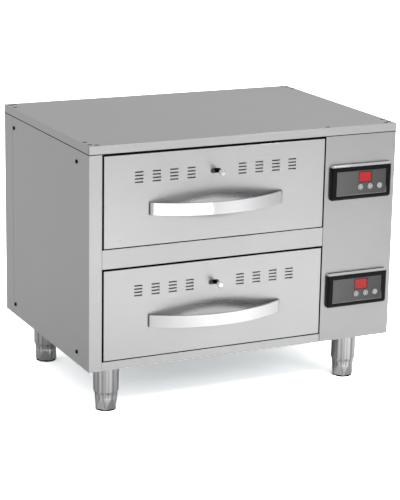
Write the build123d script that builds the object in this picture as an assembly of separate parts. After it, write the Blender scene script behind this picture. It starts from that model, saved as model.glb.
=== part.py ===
"""Countertop warming drawer: two heated drawers and a control column in a stainless cabinet on legs.

Millimetres, +Z up. The front faces -Y. The origin is on the floor, under the centre of the whole
outline, handles and cable gland included.
"""
import os
from math import sqrt

from build123d import *

# ---------------------------------------------------------------- driving dimensions
# Cabinet
cabinet_width = 700
cabinet_depth = 490
sheet = 1.2
worktop_edge = 17
edge_shadow_gap = 1
stile_width = 28
control_column_width = 169
opening_height = 194.5
bottom_rail_height = 18
middle_rail_height = 40
front_post_return = 52
rear_post_return = 50
lip_width = 22
lip_joggle = 8
panel_seam = 0.6
corner_slit = 0.5

# Slots in the worktop, measured from the nearest side and from the front or back edge
slot_length = 8.5
slot_width = 3
side_slot_inset = 8.5
side_slot_far = 44
side_slot_near = 18
edge_slot_inset = 20
edge_slot_near = 10

# Legs and feet
leg_height = 108
leg_inset_x = 67
leg_inset_y = 71
leg_diameter = 53
leg_tube_length = 66
leg_taper_length = 7
leg_neck_diameter = 47
foot_diameter = 46
foot_height = 29.5
foot_edge = 0.8
stem_diameter = 16
stem_length = 45
stem_clearance = 0.3
leg_stud_diameter = 10
leg_stud_length = 12

# Drawer fronts
front_thickness = 35
front_side_gap = 3
front_bottom_gap = 2
front_top_gap = 3.5
gasket_thickness = 5
gasket_width = 8
gasket_inset = 4.5

# Scoop behind the handle, and the handle
handle_height_on_opening = 77
handle_span = 300
handle_bow = 48
handle_strap_height = 26
handle_strap = 5
handle_leg = 6
handle_bend = 3
scoop_length = 260
scoop_height = 70
scoop_depth = 22
scoop_rim = 14

# Vents
vent_height_on_opening = 143.3
vent_columns_each_side = 4
vent_rows = 4
vent_slot_length = 18
vent_slot_height = 3
vent_column_pitch = 38.3
vent_row_pitch = 6.8
vent_first_column = 57.5
vent_offset_at_rest = 15
vent_open_travel = 10
vent_close_travel = 4
vent_slide_sheet = 1
vent_slide_height = 40
vent_slide_margin = 20
slide_clearance = 0.3
guide_width = 6
guide_overlap = 6
guide_lip = 1.2
knob_collar = 9
knob_track_height = 10
knob_track_clearance = 0.5
knob_collar_reach = 2
knob_neck = 6
knob_head = 13
knob_head_length = 10
knob_reach = 28
knob_edge = 1.5
knob_spigot = 4
knob_spigot_reach = 1.5

# Liner, tub and runners
liner_ring = 14
rear_insulation = 30
side_air_gap = 5
tub_rear_clearance = 16.4
tub_floor_on_opening = 34
tub_height = 95
tub_bend = 6
rail_width = 12.7
rail_height = 45
rail_sheet = 1.5
rail_clearance = 0.3
rail_front_margin = 2
rail_rear_clearance = 14.4
middle_rail_web = 2

# Heaters and probes
heater_diameter = 6.5
heater_lift = 8
heater_first_leg = 60
heater_rear_margin = 104.4
heater_left_margin = 50
heater_right_margin = 20
heater_terminal_reach = 18
terminal_pin_diameter = 2.5
terminal_pin_length = 8
ferrule_diameter = 14
ferrule_length = 3
saddle_width = 10
saddle_margin = 10
probe_diameter = 6
probe_reach = 30
probe_tail = 15
probe_below_ceiling = 6.5
probe_rear_inset = 156.4
wall_hole_clearance = 0.3

# Controllers
controller_height_on_opening = 94.5
bezel_width = 146
bezel_height = 75.5
bezel_proud = 9
bezel_bevel = 4
bezel_corner = 6
window_width = 120
window_height = 51
window_drop = 2
window_recess = 1.5
face_thickness = 2
face_ledge = 3
case_wall = 2
case_depth = 45
case_clearance = 0.5
fit_clearance = 0.2
display_width = 31
display_height = 22.5
display_right = 9
display_up = 11
display_recess = 0.2
key_diameter = 12
key_pitch = 23.2
first_key_left = 2.3
key_drop = 10
key_proud = 1
key_travel = 0.8
key_clearance = 0.3
key_flange = 1.2
key_flange_thickness = 1
key_plunger = 4
board_setback = 6
board_thickness = 1.6
switch_size = 6
switch_height = 4

# Rear
gland_reach = 16
gland_diameter = 22
gland_neck = 15.6
gland_bore = 8
gland_nut = 4
gland_height = 60
gland_hole_clearance = 0.3
bay_vent_count = 8
bay_vent_length = 70
bay_vent_height = 4
bay_vent_pitch = 12
bay_vent_first = 300

# Side panel screws
screw_diameter = 4
screw_head_diameter = 8.5
screw_head_height = 2.2
screw_length = 6
screw_clearance = 0.2
front_screw_inset = 66.5
rear_screw_inset = 59.5
low_screw_height = 25
high_screw_below_skin_top = 24.5

# ---------------------------------------------------------------- places worked out from them
front_reach = max(handle_bow, knob_reach, bezel_proud)
front_y = front_reach - (front_reach + cabinet_depth + gland_reach) / 2
back_y = front_y + cabinet_depth
seat_y = front_y + front_thickness + gasket_thickness
panel_y = front_y + front_thickness

left_x = -cabinet_width / 2
right_x = cabinet_width / 2
opening_left = left_x + stile_width
opening_right = right_x - control_column_width
opening_x = (opening_left + opening_right) / 2
bay_x = (opening_right + right_x) / 2

base_z = leg_height
lower_z = base_z + bottom_rail_height
upper_z = lower_z + opening_height + middle_rail_height
skin_top_z = upper_z + opening_height
top_z = skin_top_z + edge_shadow_gap + worktop_edge

liner_left = opening_left + liner_ring
liner_right = opening_right - liner_ring
liner_back_y = back_y - 2 * sheet - rear_insulation - sheet
insulation_back_y = back_y - 2 * sheet
tub_length = liner_back_y - panel_y - tub_rear_clearance
rail_front_y = seat_y + rail_front_margin
rail_length = liner_back_y - rail_front_y - rail_rear_clearance

vent_column_starts = []
for column in range(vent_columns_each_side):
    vent_column_starts.append(vent_first_column - vent_slot_length / 2 + column * vent_column_pitch)
for column in range(vent_columns_each_side):
    vent_column_starts.append(-vent_column_starts[column] - vent_slot_length)

leg_places = {
    "front_left": (left_x + leg_inset_x, front_y + leg_inset_y),
    "front_right": (right_x - leg_inset_x, front_y + leg_inset_y),
    "rear_left": (left_x + leg_inset_x, back_y - leg_inset_y),
    "rear_right": (right_x - leg_inset_x, back_y - leg_inset_y),
}
screw_heights = (base_z + low_screw_height, skin_top_z - high_screw_below_skin_top)
screw_setbacks = (front_y + front_screw_inset, back_y - rear_screw_inset)
heater_leg_pitch = (liner_back_y - seat_y - heater_first_leg - heater_rear_margin) / 3
heater_legs = [seat_y + heater_first_leg + leg * heater_leg_pitch for leg in range(4)]
key_names = ("up", "down", "set")


# ---------------------------------------------------------------- helpers
def block(x0, x1, y0, y1, z0, z1):
    """A box between two opposite corners."""
    box = Box(x1 - x0, y1 - y0, z1 - z0, align=(Align.MIN, Align.MIN, Align.MIN))
    return Pos(x0, y0, z0) * box


def disc_z(x, y, z0, z1, diameter):
    """An upright cylinder from z0 to z1."""
    return Pos(x, y, z0) * Cylinder(diameter / 2, z1 - z0, align=(Align.CENTER, Align.CENTER, Align.MIN))


def disc_y(x, z, y0, y1, diameter):
    """A cylinder along Y from y0 to y1."""
    upright = Cylinder(diameter / 2, y1 - y0, align=(Align.CENTER, Align.CENTER, Align.MIN))
    return Pos(x, y0, z) * Rot(-90, 0, 0) * upright


def disc_x(y, z, x0, x1, diameter):
    """A cylinder along X from x0 to x1."""
    upright = Cylinder(diameter / 2, x1 - x0, align=(Align.CENTER, Align.CENTER, Align.MIN))
    return Pos(x0, y, z) * Rot(0, 90, 0) * upright


def mirrored_x(shape):
    """The same piece on the other side of the cabinet's middle plane."""
    return mirror(shape, about=Plane.YZ)


# ---------------------------------------------------------------- cabinet sheet metal
def worktop():
    """Folded lid: top sheet, edge all round, slit corners and small slots near the corners."""
    lid = block(left_x, right_x, front_y, back_y, top_z - worktop_edge, top_z)
    lid -= block(left_x + sheet, right_x - sheet, front_y + sheet, back_y - sheet,
                 top_z - worktop_edge, top_z - sheet)
    for side_x in (left_x, right_x - sheet):
        for slit_y in (front_y + sheet, back_y - sheet - corner_slit):
            lid -= block(side_x, side_x + sheet, slit_y, slit_y + corner_slit,
                         top_z - worktop_edge, top_z - sheet)
    slot_places = [(opening_right + side_slot_inset, front_y + edge_slot_near)]
    for edge_x, inward in ((left_x, 1), (right_x, -1)):
        for edge_y, backward in ((front_y, 1), (back_y, -1)):
            slot_places.append((edge_x + inward * side_slot_inset, edge_y + backward * side_slot_far))
            slot_places.append((edge_x + inward * side_slot_inset, edge_y + backward * side_slot_near))
            slot_places.append((edge_x + inward * edge_slot_inset, edge_y + backward * edge_slot_near))
    for x, y in slot_places:
        lid -= Pos(x, y, top_z) * Box(slot_length, slot_width, 3 * sheet)
    return lid


def screw_holes(side_x0, side_x1):
    """Clearance holes for the side panel screws, cut through from side_x0 to side_x1."""
    holes = Part()
    for y in screw_setbacks:
        for z in screw_heights:
            holes += disc_x(y, z, side_x0, side_x1, screw_diameter + 2 * screw_clearance)
    return holes


left_screw_holes = screw_holes(left_x - 1, left_x + stile_width - sheet)


def left_front_lip():
    """Set-in lip behind the front edge of the left side panel."""
    lip_y = front_y + front_post_return
    return block(left_x + sheet, left_x + 2 * sheet, lip_y - lip_joggle, lip_y + lip_width,
                 base_z + sheet, top_z - sheet)


def front_left_post():
    """Left stile, front corner and side face, with the return that frames the drawer openings."""
    post = block(left_x, left_x + sheet, front_y, front_y + front_post_return, base_z, skin_top_z)
    post += block(left_x, opening_left, front_y, front_y + sheet, base_z, skin_top_z)
    post += block(opening_left - sheet, opening_left, front_y, seat_y, base_z + sheet, skin_top_z)
    post += left_front_lip()
    return post - left_screw_holes


def side_panel():
    """Left side panel between the front post and the rear panel's return."""
    panel = block(left_x, left_x + sheet, front_y + front_post_return + panel_seam,
                  back_y - rear_post_return - panel_seam, base_z, skin_top_z)
    return panel - left_screw_holes


def rear_panel():
    """Back sheet that wraps both rear corners, with lips, bay vents and the gland hole."""
    panel = block(left_x, right_x, back_y - sheet, back_y, base_z, skin_top_z)
    panel += block(left_x + sheet, right_x - sheet, back_y - 2 * sheet, back_y - sheet,
                   skin_top_z - lip_joggle, top_z - sheet)
    lip_y = back_y - rear_post_return
    corner = block(left_x, left_x + sheet, lip_y, back_y, base_z, skin_top_z)
    corner += block(left_x + sheet, left_x + 2 * sheet, lip_y - lip_width, lip_y + lip_joggle,
                    base_z + sheet, top_z - sheet)
    corner -= left_screw_holes
    panel += corner
    panel += mirrored_x(corner)
    for row in range(bay_vent_count):
        vent_z = base_z + bay_vent_first + row * bay_vent_pitch
        panel -= Pos(bay_x, back_y, vent_z) * Box(bay_vent_length, 4 * sheet, bay_vent_height)
    panel -= disc_y(bay_x, base_z + gland_height, back_y - 2 * sheet, back_y + 1,
                    gland_neck + 2 * gland_hole_clearance)
    return panel


def base_panel():
    """Flat bottom sheet inside the wrapped skins, with the leg stud holes."""
    panel = block(left_x + sheet, right_x - sheet, front_y + sheet, back_y - sheet, base_z, base_z + sheet)
    for x, y in leg_places.values():
        panel -= disc_z(x, y, base_z - 1, base_z + 2 * sheet, leg_stud_diameter + 2 * stem_clearance)
    return panel


def control_panel():
    """Fascia of the control column, wrapped round the front right corner."""
    panel = block(opening_right, right_x, front_y, front_y + sheet, base_z, skin_top_z)
    panel += block(right_x - sheet, right_x, front_y, front_y + front_post_return, base_z, skin_top_z)
    panel += block(opening_right, opening_right + sheet, front_y, seat_y, base_z + sheet, skin_top_z)
    panel += mirrored_x(left_front_lip() - left_screw_holes)
    cut_width = window_width - 2 * face_ledge + 2 * (case_wall + case_clearance)
    cut_height = window_height - 2 * face_ledge + 2 * (case_wall + case_clearance)
    for opening_z in (lower_z, upper_z):
        cut_z = opening_z + controller_height_on_opening - window_drop
        panel -= Pos(bay_x, front_y, cut_z) * Box(cut_width, 4 * sheet, cut_height)
    return panel


def rail(z0, z1, has_top, has_bottom):
    """A cross rail between the stile and the control panel, with flanges back to the gasket seat."""
    piece = block(opening_left, opening_right, front_y, front_y + sheet, z0, z1)
    if has_top:
        piece += block(opening_left, opening_right, front_y, seat_y, z1 - sheet, z1)
    if has_bottom:
        piece += block(opening_left, opening_right, front_y, seat_y, z0, z0 + sheet)
    return piece


def middle_rail():
    """Channel between the two drawer openings."""
    return rail(lower_z + opening_height, upper_z, True, True)


def bottom_rail():
    """Rail under the lower drawer, with a rear leg that stands on the base panel."""
    piece = rail(base_z, lower_z, True, False)
    piece += block(opening_left, opening_right, seat_y - sheet, seat_y, base_z + sheet, lower_z)
    return piece


def top_rail():
    """Channel behind the worktop's front edge, over the upper drawer."""
    piece = block(left_x + sheet, right_x - sheet, front_y + sheet, seat_y, skin_top_z, skin_top_z + sheet)
    piece += block(left_x + sheet, right_x - sheet, front_y + sheet, front_y + 2 * sheet,
                   skin_top_z, top_z - sheet)
    piece += block(left_x + sheet, right_x - sheet, front_y + sheet, seat_y,
                   top_z - 2 * sheet, top_z - sheet)
    return piece


def heater_height(opening_z):
    """Height of the heater's axis above the floor, for one drawer opening."""
    return opening_z + liner_ring + heater_lift


def probe_height(opening_z):
    """Height of the probe's axis above the floor, for one drawer opening."""
    return opening_z + opening_height - liner_ring - probe_below_ceiling


def wall_holes(opening_z, x0, x1):
    """Holes for one liner's heater ends and probe, through everything from x0 to x1."""
    holes = Part()
    for y in (heater_legs[0], heater_legs[-1]):
        holes += disc_x(y, heater_height(opening_z), x0, x1, heater_diameter + 2 * wall_hole_clearance)
    holes += disc_x(liner_back_y - probe_rear_inset, probe_height(opening_z), x0, x1,
                    probe_diameter + 2 * wall_hole_clearance)
    return holes


def divider_panel():
    """Upright sheet between the heated side and the control bay."""
    x0 = opening_right + sheet
    panel = block(x0, x0 + sheet, front_y + sheet + lip_joggle, seat_y, base_z + sheet, skin_top_z)
    panel += block(x0, x0 + sheet, seat_y, insulation_back_y, base_z + sheet, top_z - sheet)
    for opening_z in (lower_z, upper_z):
        panel -= wall_holes(opening_z, x0 - 1, x0 + 2 * sheet)
    return panel


# ---------------------------------------------------------------- heated side
def liner(opening_z):
    """Box open to the front, with a flat ring for the drawer's gasket."""
    low_z = opening_z + liner_ring
    high_z = opening_z + opening_height - liner_ring
    shell = block(liner_left - sheet, liner_right + sheet, seat_y, liner_back_y + sheet,
                  low_z - sheet, high_z + sheet)
    shell += block(opening_left - sheet, opening_right + sheet, seat_y, seat_y + sheet,
                   opening_z - sheet, opening_z + opening_height + sheet)
    shell -= block(liner_left, liner_right, seat_y, liner_back_y, low_z, high_z)
    return shell - wall_holes(opening_z, liner_right - 1, liner_right + 2 * sheet)


def insulation():
    """Six mineral wool slabs round the two liners."""
    front = seat_y + sheet
    inner_left = liner_left - sheet
    inner_right = liner_right + sheet
    floor_z = base_z + sheet
    ceiling_z = top_z - sheet
    lower_bottom = lower_z + liner_ring - sheet
    lower_top = lower_z + opening_height - liner_ring + sheet
    upper_bottom = upper_z + liner_ring - sheet
    upper_top = upper_z + opening_height - liner_ring + sheet
    liner_rear = liner_back_y + sheet
    left = block(left_x + side_air_gap, inner_left, front, insulation_back_y, floor_z, ceiling_z)
    right = block(inner_right, opening_right + sheet, front, insulation_back_y, floor_z, ceiling_z)
    bottom = block(inner_left, inner_right, front, insulation_back_y, floor_z, lower_bottom)
    middle = block(inner_left, inner_right, front, liner_rear, lower_top, upper_bottom)
    top = block(inner_left, inner_right, front, insulation_back_y, upper_top, ceiling_z)
    rear = block(inner_left, inner_right, liner_rear, insulation_back_y, lower_bottom, upper_top)
    for opening_z in (lower_z, upper_z):
        right -= wall_holes(opening_z, inner_right - 1, opening_right + 2 * sheet)
    for x, y in leg_places.values():
        bottom -= disc_z(x, y, base_z, base_z + leg_stud_length + sheet, 2 * leg_stud_diameter)
    return Compound(children=[left, right, bottom, middle, top, rear])


def heater(opening_z):
    """Tubular element on the liner's floor: four legs, three bends and two ends in the control bay."""
    z = heater_height(opening_z)
    ferrule_x = opening_right + 2 * sheet
    end_x = ferrule_x + heater_terminal_reach
    bend = heater_leg_pitch / 2
    turn_left = liner_left + heater_left_margin
    turn_right = liner_right - heater_right_margin - bend
    first, second, third, fourth = heater_legs
    middle_y = (second + third) / 2
    path = Wire([
        Line((end_x, first, z), (turn_left, first, z)),
        ThreePointArc((turn_left, first, z), (turn_left - bend, first + bend, z), (turn_left, second, z)),
        Line((turn_left, second, z), (turn_right, second, z)),
        ThreePointArc((turn_right, second, z), (turn_right + bend, middle_y, z), (turn_right, third, z)),
        Line((turn_right, third, z), (turn_left, third, z)),
        ThreePointArc((turn_left, third, z), (turn_left - bend, third + bend, z), (turn_left, fourth, z)),
        Line((turn_left, fourth, z), (end_x, fourth, z)),
    ])
    section = Plane(origin=(end_x, first, z), z_dir=(-1, 0, 0)) * Circle(heater_diameter / 2)
    element = sweep(section, path)
    for y in (first, fourth):
        element += disc_x(y, z, ferrule_x, ferrule_x + ferrule_length, ferrule_diameter)
        element += disc_x(y, z, end_x, end_x + terminal_pin_length, terminal_pin_diameter)
    saddles = []
    saddle_top = z - heater_diameter / 2 - wall_hole_clearance
    for saddle_x in (turn_left + saddle_width, turn_right - saddle_width):
        saddles.append(block(saddle_x, saddle_x + saddle_width, first - saddle_margin,
                             fourth + saddle_margin, opening_z + liner_ring, saddle_top))
    return Compound(children=[element] + saddles)


def temperature_probes():
    """One probe for each liner, seated on the divider panel."""
    probes = []
    ferrule_x = opening_right + 2 * sheet
    y = liner_back_y - probe_rear_inset
    for opening_z in (lower_z, upper_z):
        z = probe_height(opening_z)
        probe =disc_x(y, z, liner_right - probe_reach, ferrule_x + probe_tail, probe_diameter)
        probe += disc_x(y, z, ferrule_x, ferrule_x + ferrule_length, ferrule_diameter)
        probes.append(probe)
    return Compound(children=probes)


# ---------------------------------------------------------------- runners
def rail_channel(wall_x, inward, web, lip_start, lip_end, half_height, y0, opening_z):
    """One C-shaped runner member. web, lip_start and lip_end are distances from the liner's wall."""
    z = opening_z + tub_floor_on_opening + tub_height / 2

    def across(near, far, z0, z1):
        x0, x1 = sorted((wall_x + inward * near, wall_x + inward * far))
        return block(x0, x1, y0, y0 + rail_length, z + z0, z + z1)

    member = across(web, web + rail_sheet, -half_height, half_height)
    member += across(lip_start, lip_end, half_height - rail_sheet, half_height)
    member += across(lip_start, lip_end, -half_height, rail_sheet - half_height)
    return member


def rail_pair(opening_z, web, lip_start, lip_end, half_height, y0):
    """The left and right members of one pair of runners."""
    left = rail_channel(liner_left, 1, web, lip_start, lip_end, half_height, y0, opening_z)
    right = rail_channel(liner_right, -1, web, lip_start, lip_end, half_height, y0, opening_z)
    return Compound(children=[left, right])


fixed_half_height = rail_height / 2
middle_half_height = fixed_half_height - rail_sheet - rail_clearance
sliding_half_height = middle_half_height - rail_sheet - rail_clearance


def fixed_rails(opening_z):
    """Outer runner members, fixed to the liner's side walls."""
    lip_end = rail_width - rail_sheet - rail_clearance
    return rail_pair(opening_z, 0, 0, lip_end, fixed_half_height, rail_front_y)


def middle_rails(opening_z):
    """Intermediate runner members, which travel half as far as the drawer."""
    lip_end = rail_width - rail_sheet - rail_clearance
    web = rail_sheet + middle_rail_web
    return rail_pair(opening_z, web, web, lip_end, middle_half_height, rail_front_y)


def sliding_rails(opening_z):
    """Inner runner members, fixed to the tub's sides."""
    web = rail_width - rail_sheet
    lip_start = 2 * (rail_sheet + middle_rail_web)
    return rail_pair(opening_z, web, lip_start, rail_width, sliding_half_height, panel_y)


# ---------------------------------------------------------------- drawers
def front_box(opening_z, inset, y0, y1):
    """A block the size of the drawer front, drawn in by inset on all four sides."""
    return block(opening_left + front_side_gap + inset, opening_right - front_side_gap - inset, y0, y1,
                 opening_z + front_bottom_gap + inset, opening_z + opening_height - front_top_gap - inset)


def scoop(opening_z, growth):
    """Barrel whose rear cuts or backs the scoop. growth moves its curved face outwards."""
    half_length = scoop_length / 2
    axis_setback = ((scoop_height / 2) ** 2 - scoop_depth ** 2) / (2 * scoop_depth)
    arc_radius = (half_length ** 2 + scoop_depth ** 2) / (2 * scoop_depth)
    grown_radius = arc_radius + growth
    grown_half = sqrt(grown_radius ** 2 - (arc_radius - scoop_depth) ** 2)
    outline = Polyline((grown_half, axis_setback), (grown_half, 0), (-grown_half, 0), (-grown_half, axis_setback))
    bulge = ThreePointArc((-grown_half, axis_setback), (0, axis_setback + scoop_depth + growth),
                          (grown_half, axis_setback))
    profile = make_face(Wire(outline.edges() + bulge.edges()))
    barrel = revolve(profile, Axis.X)
    return Pos(opening_x, front_y - axis_setback, opening_z + handle_height_on_opening) * barrel


def vent_slots(opening_z, y0, y1, shift=0):
    """The grid of vent slots as cutting blocks."""
    slots = []
    centre_z = opening_z + vent_height_on_opening
    for start in vent_column_starts:
        for row in range(vent_rows):
            z = centre_z + (row - (vent_rows - 1) / 2) * vent_row_pitch
            x = opening_x + start + shift
            slots.append(block(x, x + vent_slot_length, y0, y1, z - vent_slot_height / 2,
                               z + vent_slot_height / 2))
    return slots


def vent_half_width():
    """Half the width of the vent slot field."""
    return -min(vent_column_starts)


def curved_edges(shape, y):
    """The edges of a shape that lie in the plane at y and aren't straight."""
    return [edge for edge in shape.edges().filter_by_position(Axis.Y, y, y) if edge.geom_type != GeomType.LINE]


def front_skin(opening_z):
    """Outer pan of the drawer front: scoop, vent slots, knob track and the vent slide's guides."""
    back = front_y + front_thickness
    skin = front_box(opening_z, 0, front_y, back)
    skin -= front_box(opening_z, sheet, front_y + sheet, back)
    skin += scoop(opening_z, sheet) & front_box(opening_z, 0, front_y, back)
    skin = fillet(curved_edges(skin, front_y + sheet), scoop_rim - sheet)
    skin -= scoop(opening_z, 0)
    skin = fillet(curved_edges(skin, front_y), scoop_rim)
    centre_z = opening_z + vent_height_on_opening
    half_width = vent_half_width() + vent_slide_margin
    guide_y = front_y + sheet + 2 * slide_clearance + vent_slide_sheet
    for side in (1, -1):
        foot_z = sorted((centre_z + side * (vent_slide_height / 2 + slide_clearance),
                         centre_z + side * (vent_slide_height / 2 + slide_clearance + guide_width)))
        lip_z = sorted((centre_z + side * (vent_slide_height / 2 - guide_overlap),
                        centre_z + side * (vent_slide_height / 2 + slide_clearance + guide_width)))
        skin += block(opening_x - half_width, opening_x + half_width, front_y + sheet, guide_y,
                      foot_z[0], foot_z[1])
        skin += block(opening_x - half_width, opening_x + half_width, guide_y, guide_y + guide_lip,
                      lip_z[0], lip_z[1])
    skin -= vent_slots(opening_z, front_y - 1, front_y + sheet)
    track_length = vent_open_travel + vent_close_travel + knob_collar + 2 * knob_track_clearance
    track_x = opening_x + (vent_close_travel - vent_open_travel) / 2
    track = extrude(SlotOverall(track_length, knob_track_height), amount=4 * sheet, both=True)
    skin -= Pos(track_x, front_y, centre_z) * Rot(90, 0, 0) * track
    return skin


def inner_panel(opening_z):
    """Flat sheet that closes the back of the drawer front."""
    panel = front_box(opening_z, sheet, panel_y - sheet, panel_y)
    return panel - vent_slots(opening_z, panel_y - 2 * sheet, panel_y + 1)


def front_insulation(opening_z):
    """Mineral wool inside the drawer front, cut away behind the scoop and the vents."""
    wool_y = front_y + sheet + 2 * slide_clearance + vent_slide_sheet + guide_lip + slide_clearance
    wool = front_box(opening_z, sheet, wool_y, panel_y - sheet)
    wool -= scoop(opening_z, sheet + scoop_rim / 2)
    centre_z = opening_z + vent_height_on_opening
    half_width = vent_half_width() + guide_overlap
    half_height = vent_slide_height / 2 - guide_overlap
    wool -= block(opening_x - half_width, opening_x + half_width, front_y, panel_y,
                  centre_z - half_height, centre_z + half_height)
    return wool


def handle(opening_z):
    """Bowed flat strap whose short turned ends stand on the front skin."""
    half = handle_span / 2
    inner_half = half - handle_strap
    outer = Polyline((-half, 0), (-half, -handle_leg))
    outer_arc = ThreePointArc((-half, -handle_leg), (0, -handle_bow), (half, -handle_leg))
    outer_end = Polyline((half, -handle_leg), (half, 0), (inner_half, 0), (inner_half, -handle_leg))
    inner_arc = ThreePointArc((inner_half, -handle_leg), (0, handle_strap - handle_bow),
                              (-inner_half, -handle_leg))
    inner = Polyline((-inner_half, -handle_leg), (-inner_half, 0), (-half, 0))
    edges = outer.edges() + outer_arc.edges() + outer_end.edges() + inner_arc.edges() + inner.edges()
    strap = extrude(make_face(Wire(edges)), amount=handle_strap_height / 2, both=True)
    bends = [edge for edge in strap.edges().filter_by(Axis.Z)
             if abs(edge.center().Y + handle_leg) < 0.01 and abs(abs(edge.center().X) - half) < 0.01]
    strap = fillet(bends, handle_bend)
    return Pos(opening_x, front_y, opening_z + handle_height_on_opening) * strap


def gasket(opening_z):
    """Silicone ring on the inner panel, pressed on the liner's ring when the drawer is shut."""
    ring = block(opening_left + gasket_inset, opening_right - gasket_inset, panel_y, seat_y,
                 opening_z + gasket_inset, opening_z + opening_height - gasket_inset)
    inner_inset = gasket_inset + gasket_width
    ring -= block(opening_left + inner_inset, opening_right - inner_inset, panel_y, seat_y,
                  opening_z + inner_inset, opening_z + opening_height - inner_inset)
    return ring


def tub(opening_z):
    """Folded open-topped tub between the runners."""
    x0 = liner_left + rail_width
    x1 = liner_right - rail_width
    z0 = opening_z + tub_floor_on_opening
    outer = block(x0, x1, panel_y, panel_y + tub_length, z0, z0 + tub_height)
    outer = fillet(outer.edges().filter_by(Axis.Z), tub_bend)
    inner = block(x0 + sheet, x1 - sheet, panel_y + sheet, panel_y + tub_length - sheet,
                  z0 + sheet, z0 + tub_height)
    inner = fillet(inner.edges().filter_by(Axis.Z), tub_bend - sheet)
    return outer - inner


def vent_slide(opening_z):
    """Plate behind the vent slots, with the same slots set over to one side."""
    centre_z = opening_z + vent_height_on_opening
    half_width = vent_half_width() + vent_slide_margin
    y0 = front_y + sheet + slide_clearance
    y1 = y0 + vent_slide_sheet
    slide = block(opening_x - half_width, opening_x + half_width, y0, y1,
                  centre_z - vent_slide_height / 2, centre_z + vent_slide_height / 2)
    slide -= vent_slots(opening_z, y0 - 1, y1 + 1, vent_offset_at_rest)
    slide -= disc_y(opening_x, centre_z, y0 - 1, y1 + 1, knob_spigot + 2 * slide_clearance)
    return slide


def vent_knob(opening_z):
    """Turned knob that stands on the vent slide and reaches out through its track."""
    centre_z = opening_z + vent_height_on_opening
    slide_y = front_y + sheet + slide_clearance
    collar_y = front_y - knob_collar_reach
    head_y = front_y - knob_reach + knob_head_length
    tip_y = front_y - knob_reach
    knob = disc_y(opening_x, centre_z, collar_y, slide_y, knob_collar)
    knob += disc_y(opening_x, centre_z, head_y, collar_y, knob_neck)
    head = disc_y(opening_x, centre_z, tip_y, head_y, knob_head)
    knob += chamfer(head.edges().filter_by(GeomType.CIRCLE), knob_edge)
    spigot_end = slide_y + vent_slide_sheet + knob_spigot_reach
    knob += disc_y(opening_x, centre_z, slide_y, spigot_end, knob_spigot)
    return knob


# ---------------------------------------------------------------- controllers
def window_centre(opening_z):
    """Height of the middle of the controller's window."""
    return opening_z + controller_height_on_opening - window_drop


def window_block(opening_z, inset, y0, y1):
    """A block the size of the controller's window, drawn in by inset on all four sides."""
    z = window_centre(opening_z)
    half_width = window_width / 2 - inset
    half_height = window_height / 2 - inset
    return block(bay_x - half_width, bay_x + half_width, y0, y1, z - half_height, z + half_height)


face_front_y = front_y - bezel_proud + window_recess
face_back_y = face_front_y + face_thickness
board_y = front_y + board_setback


def controller_housing(opening_z):
    """Bevelled bezel on the fascia, moulded in one with the case behind it."""
    z = opening_z + controller_height_on_opening
    bezel = block(bay_x - bezel_width / 2, bay_x + bezel_width / 2, front_y - bezel_proud, front_y,
                  z - bezel_height / 2, z + bezel_height / 2)
    bezel = fillet(bezel.edges().filter_by(Axis.Y), bezel_corner)
    bezel = chamfer(bezel.faces().sort_by(Axis.Y)[0].edges(), bezel_bevel)
    case_end = front_y + case_depth
    housing = bezel + window_block(opening_z, face_ledge - case_wall, front_y, case_end)
    housing -= window_block(opening_z, 0, front_y - bezel_proud - 1, face_back_y)
    housing -= window_block(opening_z, face_ledge, face_back_y, case_end - case_wall)
    return housing


def key_places(opening_z):
    """Centres of the three keys."""
    z = window_centre(opening_z) - key_drop
    return [(bay_x - first_key_left + key * key_pitch, z) for key in range(len(key_names))]


def display_block(opening_z, growth, y0, y1):
    """A block the size of the display, grown on all four sides."""
    x = bay_x + display_right
    z = window_centre(opening_z) + display_up
    half_width = display_width / 2 + growth
    half_height = display_height / 2 + growth
    return block(x - half_width, x + half_width, y0, y1, z - half_height, z + half_height)


def controller_face(opening_z):
    """Plate in the window, open for the display and the keys."""
    face = window_block(opening_z, fit_clearance, face_front_y, face_back_y)
    face -= display_block(opening_z, fit_clearance, face_front_y, face_back_y)
    for x, z in key_places(opening_z):
        face -= disc_y(x, z, face_front_y, face_back_y, key_diameter + 2 * key_clearance)
    return face


def controller_board(opening_z):
    """Circuit board in the case, with a switch behind each key."""
    board = window_block(opening_z, face_ledge + fit_clearance, board_y, board_y + board_thickness)
    half = switch_size / 2
    for x, z in key_places(opening_z):
        board += block(x - half, x + half, board_y - switch_height, board_y, z - half, z + half)
    return board


def controller_display(opening_z):
    """Display module, standing on the board and showing through the face."""
    return display_block(opening_z, 0, face_front_y + display_recess, board_y)


def controller_key(x, z):
    """Round key with a flange behind the face and a plunger over its switch."""
    flange_y = face_back_y + key_clearance
    cap = disc_y(x, z, face_front_y - key_proud, flange_y + key_flange_thickness, key_diameter)
    cap += disc_y(x, z, flange_y, flange_y + key_flange_thickness,
                  key_diameter + 2 * (key_clearance + key_flange))
    plunger_end = board_y - switch_height - key_travel - key_clearance
    return cap + disc_y(x, z, flange_y, plunger_end, key_plunger)


# ---------------------------------------------------------------- legs, screws and gland
def leg(x, y):
    """Round leg: tube, taper and neck, with a bore for the foot's stem and a stud into the base."""
    taper_z = base_z - leg_tube_length
    neck_z = taper_z - leg_taper_length
    post = disc_z(x, y, taper_z, base_z, leg_diameter)
    taper = Cone(leg_neck_diameter / 2, leg_diameter / 2, leg_taper_length,
                 align=(Align.CENTER, Align.CENTER, Align.MIN))
    post += Pos(x, y, neck_z) * taper
    post += disc_z(x, y, foot_height, neck_z, leg_neck_diameter)
    post += disc_z(x, y, base_z, base_z + leg_stud_length, leg_stud_diameter)
    bore_top = foot_height + stem_length + 1
    return post - disc_z(x, y, foot_height, bore_top, stem_diameter + 2 * stem_clearance)


def legs():
    """The four legs."""
    return Compound(children=[leg(x, y) for x, y in leg_places.values()])


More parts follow.
